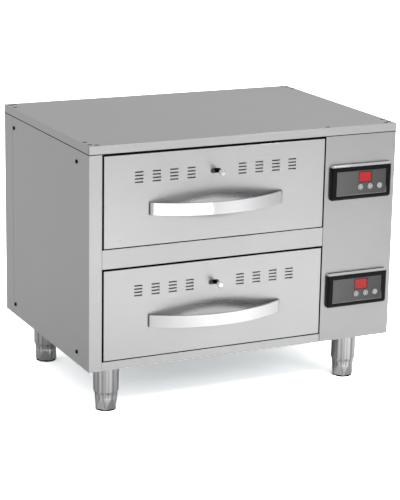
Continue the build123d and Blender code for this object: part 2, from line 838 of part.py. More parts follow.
def foot(x, y):
    """Adjustable foot with its stem, screwed fully in."""
    cup = disc_z(x, y, 0, foot_height, foot_diameter)
    cup = chamfer(cup.edges().filter_by(GeomType.CIRCLE), foot_edge)
    return cup + disc_z(x, y, foot_height, foot_height + stem_length, stem_diameter)


def side_screws():
    """Pan head screws through both side panels into the lips."""
    screws = []
    for y in screw_setbacks:
        for z in screw_heights:
            head = disc_x(y, z, left_x - screw_head_height, left_x, screw_head_diameter)
            outer_rim = head.edges().filter_by(GeomType.CIRCLE).sort_by(Axis.X)[0]
            head = fillet([outer_rim], screw_head_height * 0.6)
            screw = head + disc_x(y, z, left_x, left_x + screw_length - screw_head_height, screw_diameter)
            screws.append(screw)
            screws.append(mirrored_x(screw))
    return Compound(children=screws)


def cable_gland():
    """Gland in the rear panel for the supply cord: dome, threaded neck and inner nut."""
    z = base_z + gland_height
    gland = disc_y(bay_x, z, back_y, back_y + gland_reach, gland_diameter)
    outer_rim = gland.edges().filter_by(GeomType.CIRCLE).sort_by(Axis.Y)[-1]
    gland = fillet([outer_rim], gland_reach / 4)
    nut_back = back_y - sheet
    gland += disc_y(bay_x, z, nut_back - gland_nut, back_y, gland_neck)
    gland += disc_y(bay_x, z, nut_back - gland_nut, nut_back, gland_diameter)
    return gland - disc_y(bay_x, z, nut_back - gland_nut - 1, back_y + gland_reach + 1, gland_bore)


# ---------------------------------------------------------------- every node
nodes = {
    "worktop": worktop(),
    "left_side_panel": side_panel(),
    "right_side_panel": mirrored_x(side_panel()),
    "rear_panel": rear_panel(),
    "base_panel": base_panel(),
    "front_left_post": front_left_post(),
    "control_panel": control_panel(),
    "middle_rail": middle_rail(),
    "bottom_rail": bottom_rail(),
    "top_rail": top_rail(),
    "divider_panel": divider_panel(),
    "insulation": insulation(),
    "temperature_probes": temperature_probes(),
    "side_screws": side_screws(),
    "cable_gland": cable_gland(),
    "legs": legs(),
}
for place, (leg_x, leg_y) in leg_places.items():
    nodes[f"foot_{place}"] = foot(leg_x, leg_y)

for drawer, opening_z in (("upper", upper_z), ("lower", lower_z)):
    nodes[f"{drawer}_liner"] = liner(opening_z)
    nodes[f"{drawer}_heater"] = heater(opening_z)
    nodes[f"{drawer}_fixed_rails"] = fixed_rails(opening_z)
    nodes[f"{drawer}_middle_rails"] = middle_rails(opening_z)
    nodes[f"{drawer}_sliding_rails"] = sliding_rails(opening_z)
    nodes[f"{drawer}_front_skin"] = front_skin(opening_z)
    nodes[f"{drawer}_inner_panel"] = inner_panel(opening_z)
    nodes[f"{drawer}_front_insulation"] = front_insulation(opening_z)
    nodes[f"{drawer}_handle"] = handle(opening_z)
    nodes[f"{drawer}_gasket"] = gasket(opening_z)
    nodes[f"{drawer}_tub"] = tub(opening_z)
    nodes[f"{drawer}_vent_slide"] = vent_slide(opening_z)
    nodes[f"{drawer}_vent_knob"] = vent_knob(opening_z)
    nodes[f"{drawer}_controller_housing"] = controller_housing(opening_z)
    nodes[f"{drawer}_controller_face"] = controller_face(opening_z)
    nodes[f"{drawer}_controller_board"] = controller_board(opening_z)
    nodes[f"{drawer}_display"] = controller_display(opening_z)
    for key_name, (key_x, key_z) in zip(key_names, key_places(opening_z)):
        nodes[f"{drawer}_key_{key_name}"] = controller_key(key_x, key_z)

os.makedirs("parts", exist_ok=True)
for name, shape in nodes.items():
    export_step(shape, f"parts/{name}.step")
print(len(nodes), "nodes, front at y =", front_y, "and back at y =", back_y)
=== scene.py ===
from math import cos, pi, radians, sin

import bmesh
import bpy
from mathutils import Matrix, Vector


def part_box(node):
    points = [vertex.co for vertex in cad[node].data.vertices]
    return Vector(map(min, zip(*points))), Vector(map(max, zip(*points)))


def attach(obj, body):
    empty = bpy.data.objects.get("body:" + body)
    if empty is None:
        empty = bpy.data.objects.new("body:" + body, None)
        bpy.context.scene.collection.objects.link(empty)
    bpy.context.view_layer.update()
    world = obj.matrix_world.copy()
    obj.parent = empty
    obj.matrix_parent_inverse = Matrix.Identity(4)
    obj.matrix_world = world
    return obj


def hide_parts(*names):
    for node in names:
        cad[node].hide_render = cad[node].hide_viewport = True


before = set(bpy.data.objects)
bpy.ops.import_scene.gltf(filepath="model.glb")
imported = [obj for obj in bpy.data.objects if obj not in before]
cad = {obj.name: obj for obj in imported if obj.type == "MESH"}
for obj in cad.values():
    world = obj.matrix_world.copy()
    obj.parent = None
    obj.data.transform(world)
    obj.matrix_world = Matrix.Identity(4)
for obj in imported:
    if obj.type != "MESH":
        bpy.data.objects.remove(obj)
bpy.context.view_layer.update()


# ---------------------------------------------------------------- camera
# A long lens from the front left, a little above the lid, so that both drawer
# fronts, the left side and the lid show. It leans by one degree.
camera_data = bpy.data.cameras.new("camera")
camera_data.sensor_width = 36
camera_data.lens = 128.83
camera = bpy.data.objects.new("camera", camera_data)
bpy.context.scene.collection.objects.link(camera)
heading, dip, lean = -0.4515, 0.2620, 0.01776
aim = Matrix.Rotation(heading, 4, "Z") @ Matrix.Rotation(pi / 2 - dip, 4, "X") @ Matrix.Rotation(lean, 4, "Z")
camera.matrix_world = Matrix.Translation((-1.6440, -3.4004, 1.2855)) @ aim
bpy.context.scene.camera = camera
bpy.context.scene.view_settings.view_transform = "Standard"


# ---------------------------------------------------------------- studio
# A pale room with a white painted floor. Its front is brighter than its back.
# Two softboxes, hidden from the steel by a flag, light the floor that the drawer
# fronts mirror. One hangs over the front edge, and a low strip faces the handles.
def colour(hex_code):
    """The linear colour of an sRGB hex code."""
    channels = [int(hex_code[place:place + 2], 16) / 255 for place in (1, 3, 5)]
    linear = [c / 12.92 if c <= 0.04045 else ((c + 0.055) / 1.055) ** 2.4 for c in channels]
    return (*linear, 1)


def add(tree, kind, settings=None, links=None):
    """Adds a node, sets its properties and inputs, and links its inputs to other nodes' outputs."""
    node = tree.nodes.new(kind)
    for key, value in (settings or {}).items():
        if isinstance(key, int) or key in node.inputs:
            node.inputs[key].default_value = value
        else:
            setattr(node, key, value)
    for key, (source, output) in (links or {}).items():
        tree.links.new(source.outputs[output], node.inputs[key])
    return node


world = bpy.data.worlds.new("pale room")
bpy.context.scene.world = world
world.use_nodes = True
tree = world.node_tree
tree.nodes.clear()
path = add(tree, "ShaderNodeLightPath")
direction = add(tree, "ShaderNodeTexCoord")
apart = add(tree, "ShaderNodeSeparateXYZ", links={0: (direction, "Generated")})
depth = add(tree, "ShaderNodeMapRange", {"interpolation_type": "SMOOTHSTEP", "From Min": -0.9, "From Max": 0.7,
                                         "To Min": 0.95, "To Max": 0.56}, {"Value": (apart, "Y")})
# The steel mirrors the graded room, the camera sees white, and all else gets an even light.
mirrored = add(tree, "ShaderNodeMath", {"operation": "MAXIMUM"},
               {0: (path, "Is Glossy Ray"), 1: (path, "Is Transmission Ray")})
room = add(tree, "ShaderNodeBackground", {"Color": (1, 1, 1, 1)}, {"Strength": (depth, 0)})
fill = add(tree, "ShaderNodeBackground", {"Color": (1, 1, 1, 1), "Strength": 0.7})
white = add(tree, "ShaderNodeBackground", {"Color": (1, 1, 1, 1), "Strength": 1})
lit = add(tree, "ShaderNodeMixShader", links={0: (mirrored, 0), 1: (fill, 0), 2: (room, 0)})
seen = add(tree, "ShaderNodeMixShader", links={0: (path, "Is Camera Ray"), 1: (lit, 0), 2: (white, 0)})
add(tree, "ShaderNodeOutputWorld", links={"Surface": (seen, 0)})

floor_paint = bpy.data.materials.new("white floor paint")
floor_paint.use_nodes = True
tree = floor_paint.node_tree
tree.nodes.clear()
path = add(tree, "ShaderNodeLightPath")
# The camera sees the bare floor burnt out to white. The steel sees the paint's own grey.
tone = add(tree, "ShaderNodeMapRange", {"To Min": 0.74, "To Max": 3.6}, {"Value": (path, "Is Camera Ray")})
matt = add(tree, "ShaderNodeBsdfDiffuse", links={"Color": (tone, 0)})
add(tree, "ShaderNodeOutputMaterial", links={"Surface": (matt, 0)})

bm = bmesh.new()
bmesh.ops.create_grid(bm, x_segments=1, y_segments=1, size=20)
floor_mesh = bpy.data.meshes.new("floor")
bm.to_mesh(floor_mesh)
bm.free()
floor_mesh.materials.append(floor_paint)
floor = bpy.data.objects.new("floor", floor_mesh)
bpy.context.scene.collection.objects.link(floor)


def softbox(name, place, target, width, height, watts):
    """A rectangular lamp at place, facing target. Returns it."""
    lamp_data = bpy.data.lights.new(name, "AREA")
    lamp_data.shape = "RECTANGLE"
    lamp_data.size = width
    lamp_data.size_y = height
    lamp_data.energy = watts
    lamp = bpy.data.objects.new(name, lamp_data)
    bpy.context.scene.collection.objects.link(lamp)
    facing = (Vector(target) - Vector(place)).to_track_quat("-Z", "Y")
    lamp.matrix_world = Matrix.Translation(place) @ facing.to_matrix().to_4x4()
    return lamp


for name, x, y, z, size, watts in (("floor softbox", 0.38, -1.02, 1.0, 0.5, 11.5),
                                   ("right floor softbox", 1.15, -2.10, 1.2, 0.6, 7.5)):
    softbox(name, (x, y, z), (x, y, 0), size, size, watts).visible_glossy = False
softbox("front edge softbox", (0.85, -0.64, 1.75), (0.27, -0.23, 0.5), 0.6, 0.10, 3.4)
softbox("low strip", (-0.44, -1.30, 0.155), (-0.44, -0.28, 0.40), 1.16, 0.13, 0.58)


# ---------------------------------------------------------------- cabinet skins
# Folded 1.2 mm stainless sheet, brushed along the cabinet's width and depth and
# screwed or welded into a box. The folds are rounded, and cut edges are only broken.
mm = 0.001


def new_finish(name, sockets):
    """A material, its node tree, its shader with the sockets' even values set, and its texture coordinates."""
    material = bpy.data.materials.new(name)
    material.use_nodes = True
    shader = material.node_tree.nodes["Principled BSDF"]
    for socket, value in sockets.items():
        shader.inputs[socket].default_value = value
    return material, material.node_tree, shader, add(material.node_tree, "ShaderNodeTexCoord")


def drive(tree, shader, sources):
    """Links sockets of a shader to other nodes' outputs."""
    for socket, (source, output) in sources.items():
        tree.links.new(source.outputs[output], shader.inputs[socket])


def steel(name, tone_hex, roughness, spread, wave):
    """Brushed stainless. Fine lines run level round the cabinet and stretch highlights across them.

    The sheet is a little wavy, by wave in height, which bends what it mirrors.
    """
    material, tree, shader, place = new_finish(name, {"Metallic": 1, "Anisotropic": spread})
    facing = add(tree, "ShaderNodeSeparateXYZ", links={0: (place, "Normal")})
    sideways = add(tree, "ShaderNodeMath", {"operation": "ABSOLUTE"}, {0: (facing, "X")})
    side = add(tree, "ShaderNodeMath", {"operation": "GREATER_THAN", 1: 0.7}, {0: (sideways, 0)})
    # The brush lines are 0.2 mm wide on the real sheet and drawn 1.6 mm wide, to show at this size.
    on, over = 9, 1 / (1.6 * mm)
    along_x = add(tree, "ShaderNodeMapping", {"Scale": (on, over, over)}, {0: (place, "Object")})
    along_y = add(tree, "ShaderNodeMapping", {"Scale": (over, on, over)}, {0: (place, "Object")})
    along = add(tree, "ShaderNodeMix", {"data_type": "VECTOR"}, {0: (side, 0), 4: (along_x, 0), 5: (along_y, 0)})
    lines = add(tree, "ShaderNodeTexNoise", {"Scale": 1, "Detail": 3, "Roughness": 0.6}, {"Vector": (along, 1)})
    smear = add(tree, "ShaderNodeTexNoise", {"Scale": 5, "Detail": 3, "Roughness": 0.5}, {"Vector": (place, "Object")})
    swell = add(tree, "ShaderNodeTexNoise", {"Scale": 4, "Detail": 1, "Roughness": 0.4}, {"Vector": (place, "Object")})
    grain = add(tree, "ShaderNodeMapRange", {"From Min": 0.3, "From Max": 0.7, "To Min": -0.035, "To Max": 0.035},
                {"Value": (lines, 0)})
    haze = add(tree, "ShaderNodeMapRange", {"From Min": 0.3, "From Max": 0.7, "To Min": roughness - 0.03,
                                            "To Max": roughness + 0.03}, {"Value": (smear, 0)})
    rough = add(tree, "ShaderNodeMath", {"operation": "ADD"}, {0: (grain, 0), 1: (haze, 0)})
    low = tuple(c * 0.96 for c in colour(tone_hex)[:3]) + (1,)
    high = tuple(min(1, c * 1.04) for c in colour(tone_hex)[:3]) + (1,)
    shade = add(tree, "ShaderNodeMix", {"data_type": "RGBA", 6: low, 7: high}, {0: (lines, 0)})
    sag = add(tree, "ShaderNodeBump", {"Strength": 1, "Distance": wave}, {"Height": (swell, 0)})
    bump = add(tree, "ShaderNodeBump", {"Strength": 0.03, "Distance": 0.2 * mm},
               {"Height": (lines, 0), "Normal": (sag, 0)})
    grain_x = add(tree, "ShaderNodeCombineXYZ", {"X": 1, "Y": 0, "Z": 0})
    grain_y = add(tree, "ShaderNodeCombineXYZ", {"X": 0, "Y": 1, "Z": 0})
    level = add(tree, "ShaderNodeMix", {"data_type": "VECTOR"}, {0: (side, 0), 4: (grain_x, 0), 5: (grain_y, 0)})
    across = add(tree, "ShaderNodeVectorMath", {"operation": "CROSS_PRODUCT"}, {0: (place, "Normal"), 1: (level, 1)})
    drive(tree, shader, {"Base Color": (shade, 2), "Roughness": (rough, 0), "Normal": (bump, 0),
                         "Tangent": (across, 0)})
    return material


def piece_from(bm, name):
    """A finished object in place, from a bmesh."""
    mesh = bpy.data.meshes.new(name)
    bm.to_mesh(mesh)
    bm.free()
    piece = bpy.data.objects.new(name, mesh)
    bpy.context.scene.collection.objects.link(piece)
    return piece


def fit(piece, material, slot, body, *nodes):
    """Gives a piece its material and body, and hides the solids it stands for. slot is not used."""
    piece.data.materials.clear()
    piece.data.materials.append(material)
    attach(piece, body)
    if nodes:
        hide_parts(*nodes)


def solid_copy(node):
    """A solid's mesh as a bmesh, with its flat faces made whole."""
    bm = bmesh.new()
    bm.from_mesh(cad[node].data)
    bmesh.ops.remove_doubles(bm, verts=bm.verts, dist=1e-6)
    bmesh.ops.dissolve_limit(bm, angle_limit=radians(0.5), verts=bm.verts, edges=bm.edges)
    return bm


def edges_over(bm, degrees):
    """The edges of a bmesh at which the surface turns by more than the angle."""
    return [e for e in bm.edges if len(e.link_faces) == 2 and e.calc_face_angle() > radians(degrees)]


def round_edges(bm, edges, width, segments):
    """Bevels edges and returns the new faces."""
    return bmesh.ops.bevel(bm, geom=edges, offset=width, offset_type="OFFSET", affect="EDGES", segments=segments,
                           profile=0.5, clamp_overlap=True, material=-1)["faces"]


def sheet_copy(node, fold, edge, reshape=None):
    """A solid's mesh as a piece with its folds rounded by fold and its cut edges broken by edge.

    reshape, if given, changes the bmesh before the folds are rounded.
    """
    bm = solid_copy(node)
    largest_strip, shortest_fold, narrowest_flange, shortest_edge = 400 * mm * mm, 12 * mm, 4 * mm, 0.8 * mm
    for face in bm.faces:
        bends = [e for e in face.edges if len(e.link_faces) == 2 and radians(0.5) < e.calc_face_angle() < radians(32)]
        face.smooth = bool(bends) and face.calc_area() < largest_strip
    if reshape:
        reshape(bm)
    corners = [e for e in edges_over(bm, 40) if e.is_convex]
    folds = [e for e in corners if e.calc_length() > shortest_fold
             and min(f.calc_area() for f in e.link_faces) / e.calc_length() > narrowest_flange]
    rest = [e for e in corners if e not in folds and e.calc_length() > shortest_edge]
    if fold:
        for face in round_edges(bm, folds, fold, 4):
            face.smooth = True
        rest = [e for e in rest if e.is_valid]
    if edge:
        round_edges(bm, rest, edge, 1)
    return piece_from(bm, node + "_finished")


brushed = steel("brushed stainless sheet", "#C8C8C8", 0.34, 0.7, 1.5 * mm)
for node in ("left_side_panel", "right_side_panel", "rear_panel", "front_left_post"):
    fit(sheet_copy(node, 1.2 * mm, 0.2 * mm), brushed, "brushed_sheet", "cabinet", node)
# The fascia's steel is a copy of the sheet's painted darker, as painted shade for its different tilt to the light.
shaded_fascia_steel = steel("brushed stainless fascia painted darker", "#BABABA", 0.34, 0.7, 1.5 * mm)
fit(sheet_copy("control_panel", 1.2 * mm, 0.2 * mm), shaded_fascia_steel, "brushed_sheet", "cabinet", "control_panel")


def lower_lid(bm):
    """Takes the lid's top down by a hair, so that the plugs' heads can lie on it."""
    for vert in bm.verts:
        if vert.co.z > 572.9 * mm:
            vert.co.z -= 0.08 * mm


fit(sheet_copy("worktop", 1.2 * mm, 0.2 * mm, lower_lid), brushed, "brushed_sheet", "cabinet", "worktop")


def open_seam(bm):
    """Draws a rail's right end back, which opens the seam between it and the control panel."""
    for vert in bm.verts:
        if vert.co.x > 180.5 * mm:
            vert.co.x -= 1.1 * mm


for node in ("middle_rail", "bottom_rail"):
    fit(sheet_copy(node, 0.6 * mm, 0.2 * mm, open_seam), brushed, "brushed_sheet", "cabinet", node)


# ---------------------------------------------------------------- inner sheets
# The base, the rail under the lid and the divider are folded galvanised sheet.
# The zinc shows large dull crystals, each with its own tone.
galvanised, tree, shader, place = new_finish("galvanised sheet", {"Metallic": 1})
# The crystals are about 9 mm across.
crystals = add(tree, "ShaderNodeTexVoronoi", {"Scale": 1 / (9 * mm), "Randomness": 1}, {"Vector": (place, "Object")})
each = add(tree, "ShaderNodeSeparateColor", links={0: (crystals, "Color")})
zinc = add(tree, "ShaderNodeMix", {"data_type": "RGBA", 6: colour("#9CA1A4"), 7: colour("#B4B8BA")}, {0: (each, 0)})
dull = add(tree, "ShaderNodeMapRange", {"To Min": 0.36, "To Max": 0.56}, {"Value": (each, 1)})
frost = add(tree, "ShaderNodeBump", {"Strength": 0.15, "Distance": 0.1 * mm}, {"Height": (crystals, "Distance")})
drive(tree, shader, {"Base Color": (zinc, 2), "Roughness": (dull, 0), "Normal": (frost, 0)})

for node in ("top_rail", "base_panel", "divider_panel"):
    fit(sheet_copy(node, 1.2 * mm, 0), galvanised, "galvanised_sheet", "cabinet", node)


# ---------------------------------------------------------------- lid plugs
# The small slots near the lid's corners are closed by black rubber plugs, pressed
# in from above until their thin heads lie on the surface.
def add_block(bm, low, high):
    """Adds a block between two opposite corners and returns its vertices."""
    low, high = Vector(low), Vector(high)
    place = Matrix.Translation((low + high) / 2) @ Matrix.Diagonal((*(high - low), 1))
    return bmesh.ops.create_cube(bm, size=1, matrix=place)["verts"]


def soften(bm, width, segments, sharper_than=40):
    """Rounds the edges of a bmesh that turn by more than the angle, in degrees."""
    for face in round_edges(bm, edges_over(bm, sharper_than), width, segments):
        face.smooth = True


def mottled(name, sockets, dark_hex, light_hex, smooth, rough, grain_size, detail=2):
    """A print or moulding whose tone and gloss vary a little with a grain of the given size."""
    material, tree, shader, place = new_finish(name, sockets)
    spots = add(tree, "ShaderNodeTexNoise", {"Scale": 1 / grain_size, "Detail": detail}, {"Vector": (place, "Object")})
    tint = add(tree, "ShaderNodeMix", {"data_type": "RGBA", 6: colour(dark_hex), 7: colour(light_hex)}, {0: (spots, 0)})
    gloss = add(tree, "ShaderNodeMapRange", {"To Min": smooth, "To Max": rough}, {"Value": (spots, 0)})
    drive(tree, shader, {"Base Color": (tint, 2), "Roughness": (gloss, 0)})
    return material


# A matt moulded skin with a 0.4 mm grain, dusted slightly grey. It shines little, even seen edge-on.
rubber = mottled("black rubber", {"IOR": 1.06}, "#0A0A0A", "#141413", 0.55, 0.8, 0.4 * mm)

lid_low, lid_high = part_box("worktop")
plug_places = [(189.5 * mm, lid_low.y + 10 * mm)]
for side_x, inward in ((lid_low.x, 1), (lid_high.x, -1)):
    for end_y, backward in ((lid_low.y, 1), (lid_high.y, -1)):
        for across_in, along_in in ((8.5, 44), (8.5, 18), (20, 10)):
            plug_places.append((side_x + inward * across_in * mm, end_y + backward * along_in * mm))
bm = bmesh.new()
for x, y in plug_places:
    # The head, then the body in the slot: half its size, and how deep its ends lie under the head's top.
    for half_x, half_y, low, high in ((5, 2.7, 0.3, 0), (4.2, 1.45, 1.15, 0.2)):
        add_block(bm, (x - half_x * mm, y - half_y * mm, lid_high.z - low * mm),
                  (x + half_x * mm, y + half_y * mm, lid_high.z - high * mm))
soften(bm, 0.05 * mm, 2)
fit(piece_from(bm, "lid_plugs"), rubber, "black_moulding", "cabinet")


# ---------------------------------------------------------------- painted shade strips
# Black strips, as painted shade, stand a hair proud in the seam between the lid and the walls. The same painted shade
# lines the four sides of both drawer openings, behind the front plane.
front_y = -229 * mm
opening_x0, opening_x1, opening_height = -322 * mm, 181 * mm, 194.5 * mm
wall_top, lid_edge = 554.4 * mm, 556.1 * mm
shade_strip_x, wall_x = 348 * mm, 350.15 * mm
wall_front, shade_strip_y, wall_back = front_y - 0.15 * mm, front_y + 3 * mm, 262 * mm
bm = bmesh.new()
for x0, x1, y0, y1 in ((-wall_x, -shade_strip_x, wall_front, wall_back), (shade_strip_x, wall_x, wall_front, wall_back),
                       (-wall_x, opening_x0, wall_front, shade_strip_y), (opening_x1, wall_x, wall_front, shade_strip_y)):
    add_block(bm, (x0, y0, wall_top), (x1, y1, lid_edge))
# A sliver of this painted shade shows in the seam at the lid's front left corner.
seam_y = lid_low.y + 1.6 * mm
add_block(bm, (lid_low.x - 0.04 * mm, seam_y, 557.5 * mm), (lid_low.x + 1 * mm, seam_y + 0.8 * mm, 571.5 * mm))
for opening_z in (126 * mm, 360.5 * mm):
    top = opening_z + opening_height
    for x0, x1, z0, z1 in ((opening_x0, opening_x0 + 3.4 * mm, opening_z, top),
                           (opening_x1 - 2.6 * mm, opening_x1, opening_z, top),
                           (opening_x0, opening_x1, opening_z, opening_z + 1.6 * mm),
                           (opening_x0, opening_x1, top - 3.9 * mm, top + 0.6 * mm)):
        add_block(bm, (x0, front_y + 0.6 * mm, z0), (x1, front_y + 9 * mm, z1))
soften(bm, 0.1 * mm, 2)
fit(piece_from(bm, "painted_shade_strips"), rubber, "black_moulding", "cabinet")


# ---------------------------------------------------------------- side screws
# Eight blackened pan head screws with cross recesses hold the side panels to the
# lips behind them.
blackened, tree, shader, place = new_finish("blackened steel screw", {"Metallic": 1})
# The black oxide is worn to bare steel in places, most where a driver has turned it.
wear_and_highlight = add(tree, "ShaderNodeTexNoise", {"Scale": 1 / (1.5 * mm), "Detail": 4}, {"Vector": (place, "Object")})
patches = add(tree, "ShaderNodeMapRange", {"From Min": 0.62, "From Max": 0.75}, {"Value": (wear_and_highlight, 0)})
oxide = add(tree, "ShaderNodeMix", {"data_type": "RGBA", 6: colour("#1A1A1C"), 7: colour("#6E6E70")}, {0: (patches, 0)})
satin = add(tree, "ShaderNodeMapRange", {"To Min": 0.45, "To Max": 0.3}, {"Value": (patches, 0)})
drive(tree, shader, {"Base Color": (oxide, 2), "Roughness": (satin, 0)})


def shade_round(bm, sharper_than=35):
    """Smooth shading, apart from edges that turn by more than the angle, in degrees."""
    for face in bm.faces:
        face.smooth = True
    for edge in bm.edges:
        edge.smooth = edge.calc_face_angle(0) < radians(sharper_than)


head_radius, head_height, recess = 4.25 * mm, 2.2 * mm, 1.1 * mm
shank_radius, shank_length = 1.95 * mm, 3.8 * mm
cells = 9
bm = bmesh.new()
bmesh.ops.create_grid(bm, x_segments=cells, y_segments=cells, size=1)
for vert in bm.verts:
    u, v = vert.co.x, vert.co.y
    x, y = u * (1 - v * v / 2) ** 0.5, v * (1 - u * u / 2) ** 0.5
    dome = (1 - min(1, x * x + y * y)) ** 0.5
    vert.co = Vector((x * head_radius, y * head_radius, head_height * (0.55 + 0.45 * dome)))
arm, half_cell = 5 / cells, 1 / cells
cross = []
for face in bm.faces:
    u, v = (abs(c) / head_radius for c in face.calc_center_median()[:2])
    if min(u, v) < half_cell * 0.9 and max(u, v) < arm:
        cross.append(face)
sunk = bmesh.ops.extrude_face_region(bm, geom=cross)
bottom = [g for g in sunk["geom"] if isinstance(g, bmesh.types.BMVert)]
bmesh.ops.translate(bm, verts=bottom, vec=(0, 0, -recess))
bmesh.ops.delete(bm, geom=[f for f in cross if f.is_valid], context="FACES_ONLY")
rim = [e for e in bm.edges if e.is_boundary]
skirt = bmesh.ops.extrude_edge_only(bm, edges=rim)
for vert in (g for g in skirt["geom"] if isinstance(g, bmesh.types.BMVert)):
    vert.co.z = 0
bmesh.ops.holes_fill(bm, edges=[e for e in bm.edges if e.is_boundary], sides=0)
bmesh.ops.create_cone(bm, cap_ends=True, segments=16, radius1=shank_radius, radius2=shank_radius,
                      depth=shank_length, matrix=Matrix.Translation((0, 0, -shank_length / 2)))
bmesh.ops.recalc_face_normals(bm, faces=bm.faces)
shade_round(bm, 40)
screw_mesh = bpy.data.meshes.new("screw")
bm.to_mesh(screw_mesh)
bm.free()

bm = bmesh.new()
for side in (-1, 1):
    for y in (-162.5 * mm, 201.5 * mm):
        for z in (133 * mm, 530.5 * mm):
            start = len(bm.verts)
            bm.from_mesh(screw_mesh)
            bm.verts.ensure_lookup_table()
            # Each cross stands at an angle of its own.
            turn = Matrix.Rotation(side * pi / 2, 4, "Y") @ Matrix.Rotation(radians(20 + 400 * z + 90 * y), 4, "Z")
            bmesh.ops.transform(bm, matrix=Matrix.Translation((side * 350 * mm, y, z)) @ turn, verts=bm.verts[start:])
bpy.data.meshes.remove(screw_mesh)
fit(piece_from(bm, "side_screws_finished"), blackened, "polished_steel", "cabinet", "side_screws")


# ---------------------------------------------------------------- legs
# Four legs turned from stainless tube, with a tapered end, a thinner neck and a
# bore for the foot's stem. Each has a stud welded in its top, through the base.
turned, tree, shader, place = new_finish("turned stainless", {"Metallic": 1, "Anisotropic": 0.6})
# Upright light and dark bands, set by which way the surface faces, are a painted reflection, and the lathe leaves level
# lines 1.2 mm apart.
round_at = add(tree, "ShaderNodeMapping", {"Scale": (3.4, 3.4, 0)}, {0: (place, "Normal")})
reflection_bands = add(tree, "ShaderNodeTexNoise", {"Scale": 1, "Detail": 2}, {"Vector": (round_at, 0)})
up_at = add(tree, "ShaderNodeMapping", {"Scale": (12, 12, 1 / (1.2 * mm))}, {0: (place, "Object")})
cuts = add(tree, "ShaderNodeTexNoise", {"Scale": 1, "Detail": 2}, {"Vector": (up_at, 0)})
spread = add(tree, "ShaderNodeMapRange", {"From Min": 0.35, "From Max": 0.65}, {"Value": (reflection_bands, 0)})
painted_reflection_tone = add(tree, "ShaderNodeMix", {"data_type": "RGBA", 6: colour("#8E8E8E"), 7: colour("#E2E2E2")}, {0: (spread, 0)})
satin = add(tree, "ShaderNodeMapRange", {"To Min": 0.22, "To Max": 0.30}, {"Value": (cuts, 0)})
ridges = add(tree, "ShaderNodeBump", {"Strength": 0.03, "Distance": 0.1 * mm}, {"Height": (cuts, 0)})
upright = add(tree, "ShaderNodeCombineXYZ", {"X": 0, "Y": 0, "Z": 1})
drive(tree, shader, {"Base Color": (painted_reflection_tone, 2), "Roughness": (satin, 0), "Normal": (ridges, 0), "Tangent": (upright, 0)})


def turn_profile(bm, centre, axis, profile, steps=48):
    """Turns a profile of (radius, distance along the axis) pairs, in millimetres, round an axis through centre."""
    centre, axis = Vector(centre), Vector(axis)
    side = Vector((1, 0, 0))
    chain = [bm.verts.new(centre + side * (radius * mm) + axis * (along * mm)) for radius, along in profile]
    edges = [bm.edges.new(pair) for pair in zip(chain, chain[1:])]
    bmesh.ops.spin(bm, geom=chain + edges, cent=centre, axis=axis, angle=2 * pi, steps=steps, use_merge=True)
    bmesh.ops.remove_doubles(bm, verts=bm.verts, dist=1e-6)
    bmesh.ops.recalc_face_normals(bm, faces=bm.faces)


foot_top = 29.5 * mm
leg_places = {"front_left": (-283 * mm, -158 * mm), "front_right": (283 * mm, -158 * mm),
              "rear_left": (-283 * mm, 190 * mm), "rear_right": (283 * mm, 190 * mm)}
leg_profile = [(0, 120), (4.4, 120), (5, 119.4), (5, 108), (26.1, 108), (26.5, 107.6), (26.5, 42.6), (26.4, 41.8),
               (23.7, 35.6), (23.5, 35), (23.5, 30), (23.1, 29.5), (8.3, 29.5), (8.3, 75.5), (0, 75.5)]
bm = bmesh.new()
for x, y in leg_places.values():
    turn_profile(bm, (x, y, 0), (0, 0, 1), leg_profile, 64)
shade_round(bm, 15)
fit(piece_from(bm, "legs_finished"), turned, "leg_steel", "cabinet", "legs")


# ---------------------------------------------------------------- feet
# Adjustable feet: a cup pressed with six flats for a spanner, on a threaded stem
# that screws into the leg, and a black rubber pad under the cup.
flat_in, flat_up = 20.3 * mm, 25 * mm
cup_radius, cup_low = 23 * mm, 2.8 * mm
pad_radius, pad_height = 21.5 * mm, 3 * mm
for place_name, turn in (("front_left", 37.3), ("front_right", 37.3), ("rear_left", 7.3), ("rear_right", 22.0)):
    x, y = leg_places[place_name]
    bm = bmesh.new()
    cup = Matrix.Translation((x, y, (foot_top + cup_low) / 2))
    bmesh.ops.create_cone(bm, cap_ends=True, segments=60, radius1=cup_radius, radius2=cup_radius,
                          depth=foot_top - cup_low, matrix=cup)
    for flat in range(6):
        angle = radians(turn + 60 * flat)
        out = Vector((cos(angle), sin(angle), 0))
        lean = Vector((out.x * flat_up, out.y * flat_up, flat_in - cup_radius)).normalized()
        cut = bmesh.ops.bisect_plane(bm, geom=bm.verts[:] + bm.edges[:] + bm.faces[:], clear_outer=True,
                                     plane_co=Vector((x, y, 0)) + out * flat_in, plane_no=lean)
        bmesh.ops.holes_fill(bm, edges=[g for g in cut["geom_cut"] if isinstance(g, bmesh.types.BMEdge)], sides=0)
    for face in bm.faces:
        face.smooth = abs(face.normal.z) < 0.02
    round_edges(bm, edges_over(bm, 60), 0.5 * mm, 2)
    thread = [(0, 0), (7.2, 0)]
    for ring in range(22):
        thread += [(7.2, 2 * ring + 0.6), (8, 2 * ring + 1.1), (8, 2 * ring + 1.5), (7.2, 2 * ring + 2)]
    thread += [(6.6, 45), (0, 45)]
    turn_profile(bm, (x, y, foot_top), (0, 0, 1), thread, 32)
    fit(piece_from(bm, f"foot_{place_name}_finished"), turned, "leg_steel", f"{place_name}_foot",
        f"foot_{place_name}")
    bm = bmesh.new()
    bmesh.ops.create_cone(bm, cap_ends=True, segments=48, radius1=pad_radius, radius2=pad_radius, depth=pad_height,
                          matrix=Matrix.Translation((x, y, pad_height / 2)))
    soften(bm, 0.5 * mm, 3)
    fit(piece_from(bm, f"foot_{place_name}_pad"), rubber, "black_moulding", f"{place_name}_foot")


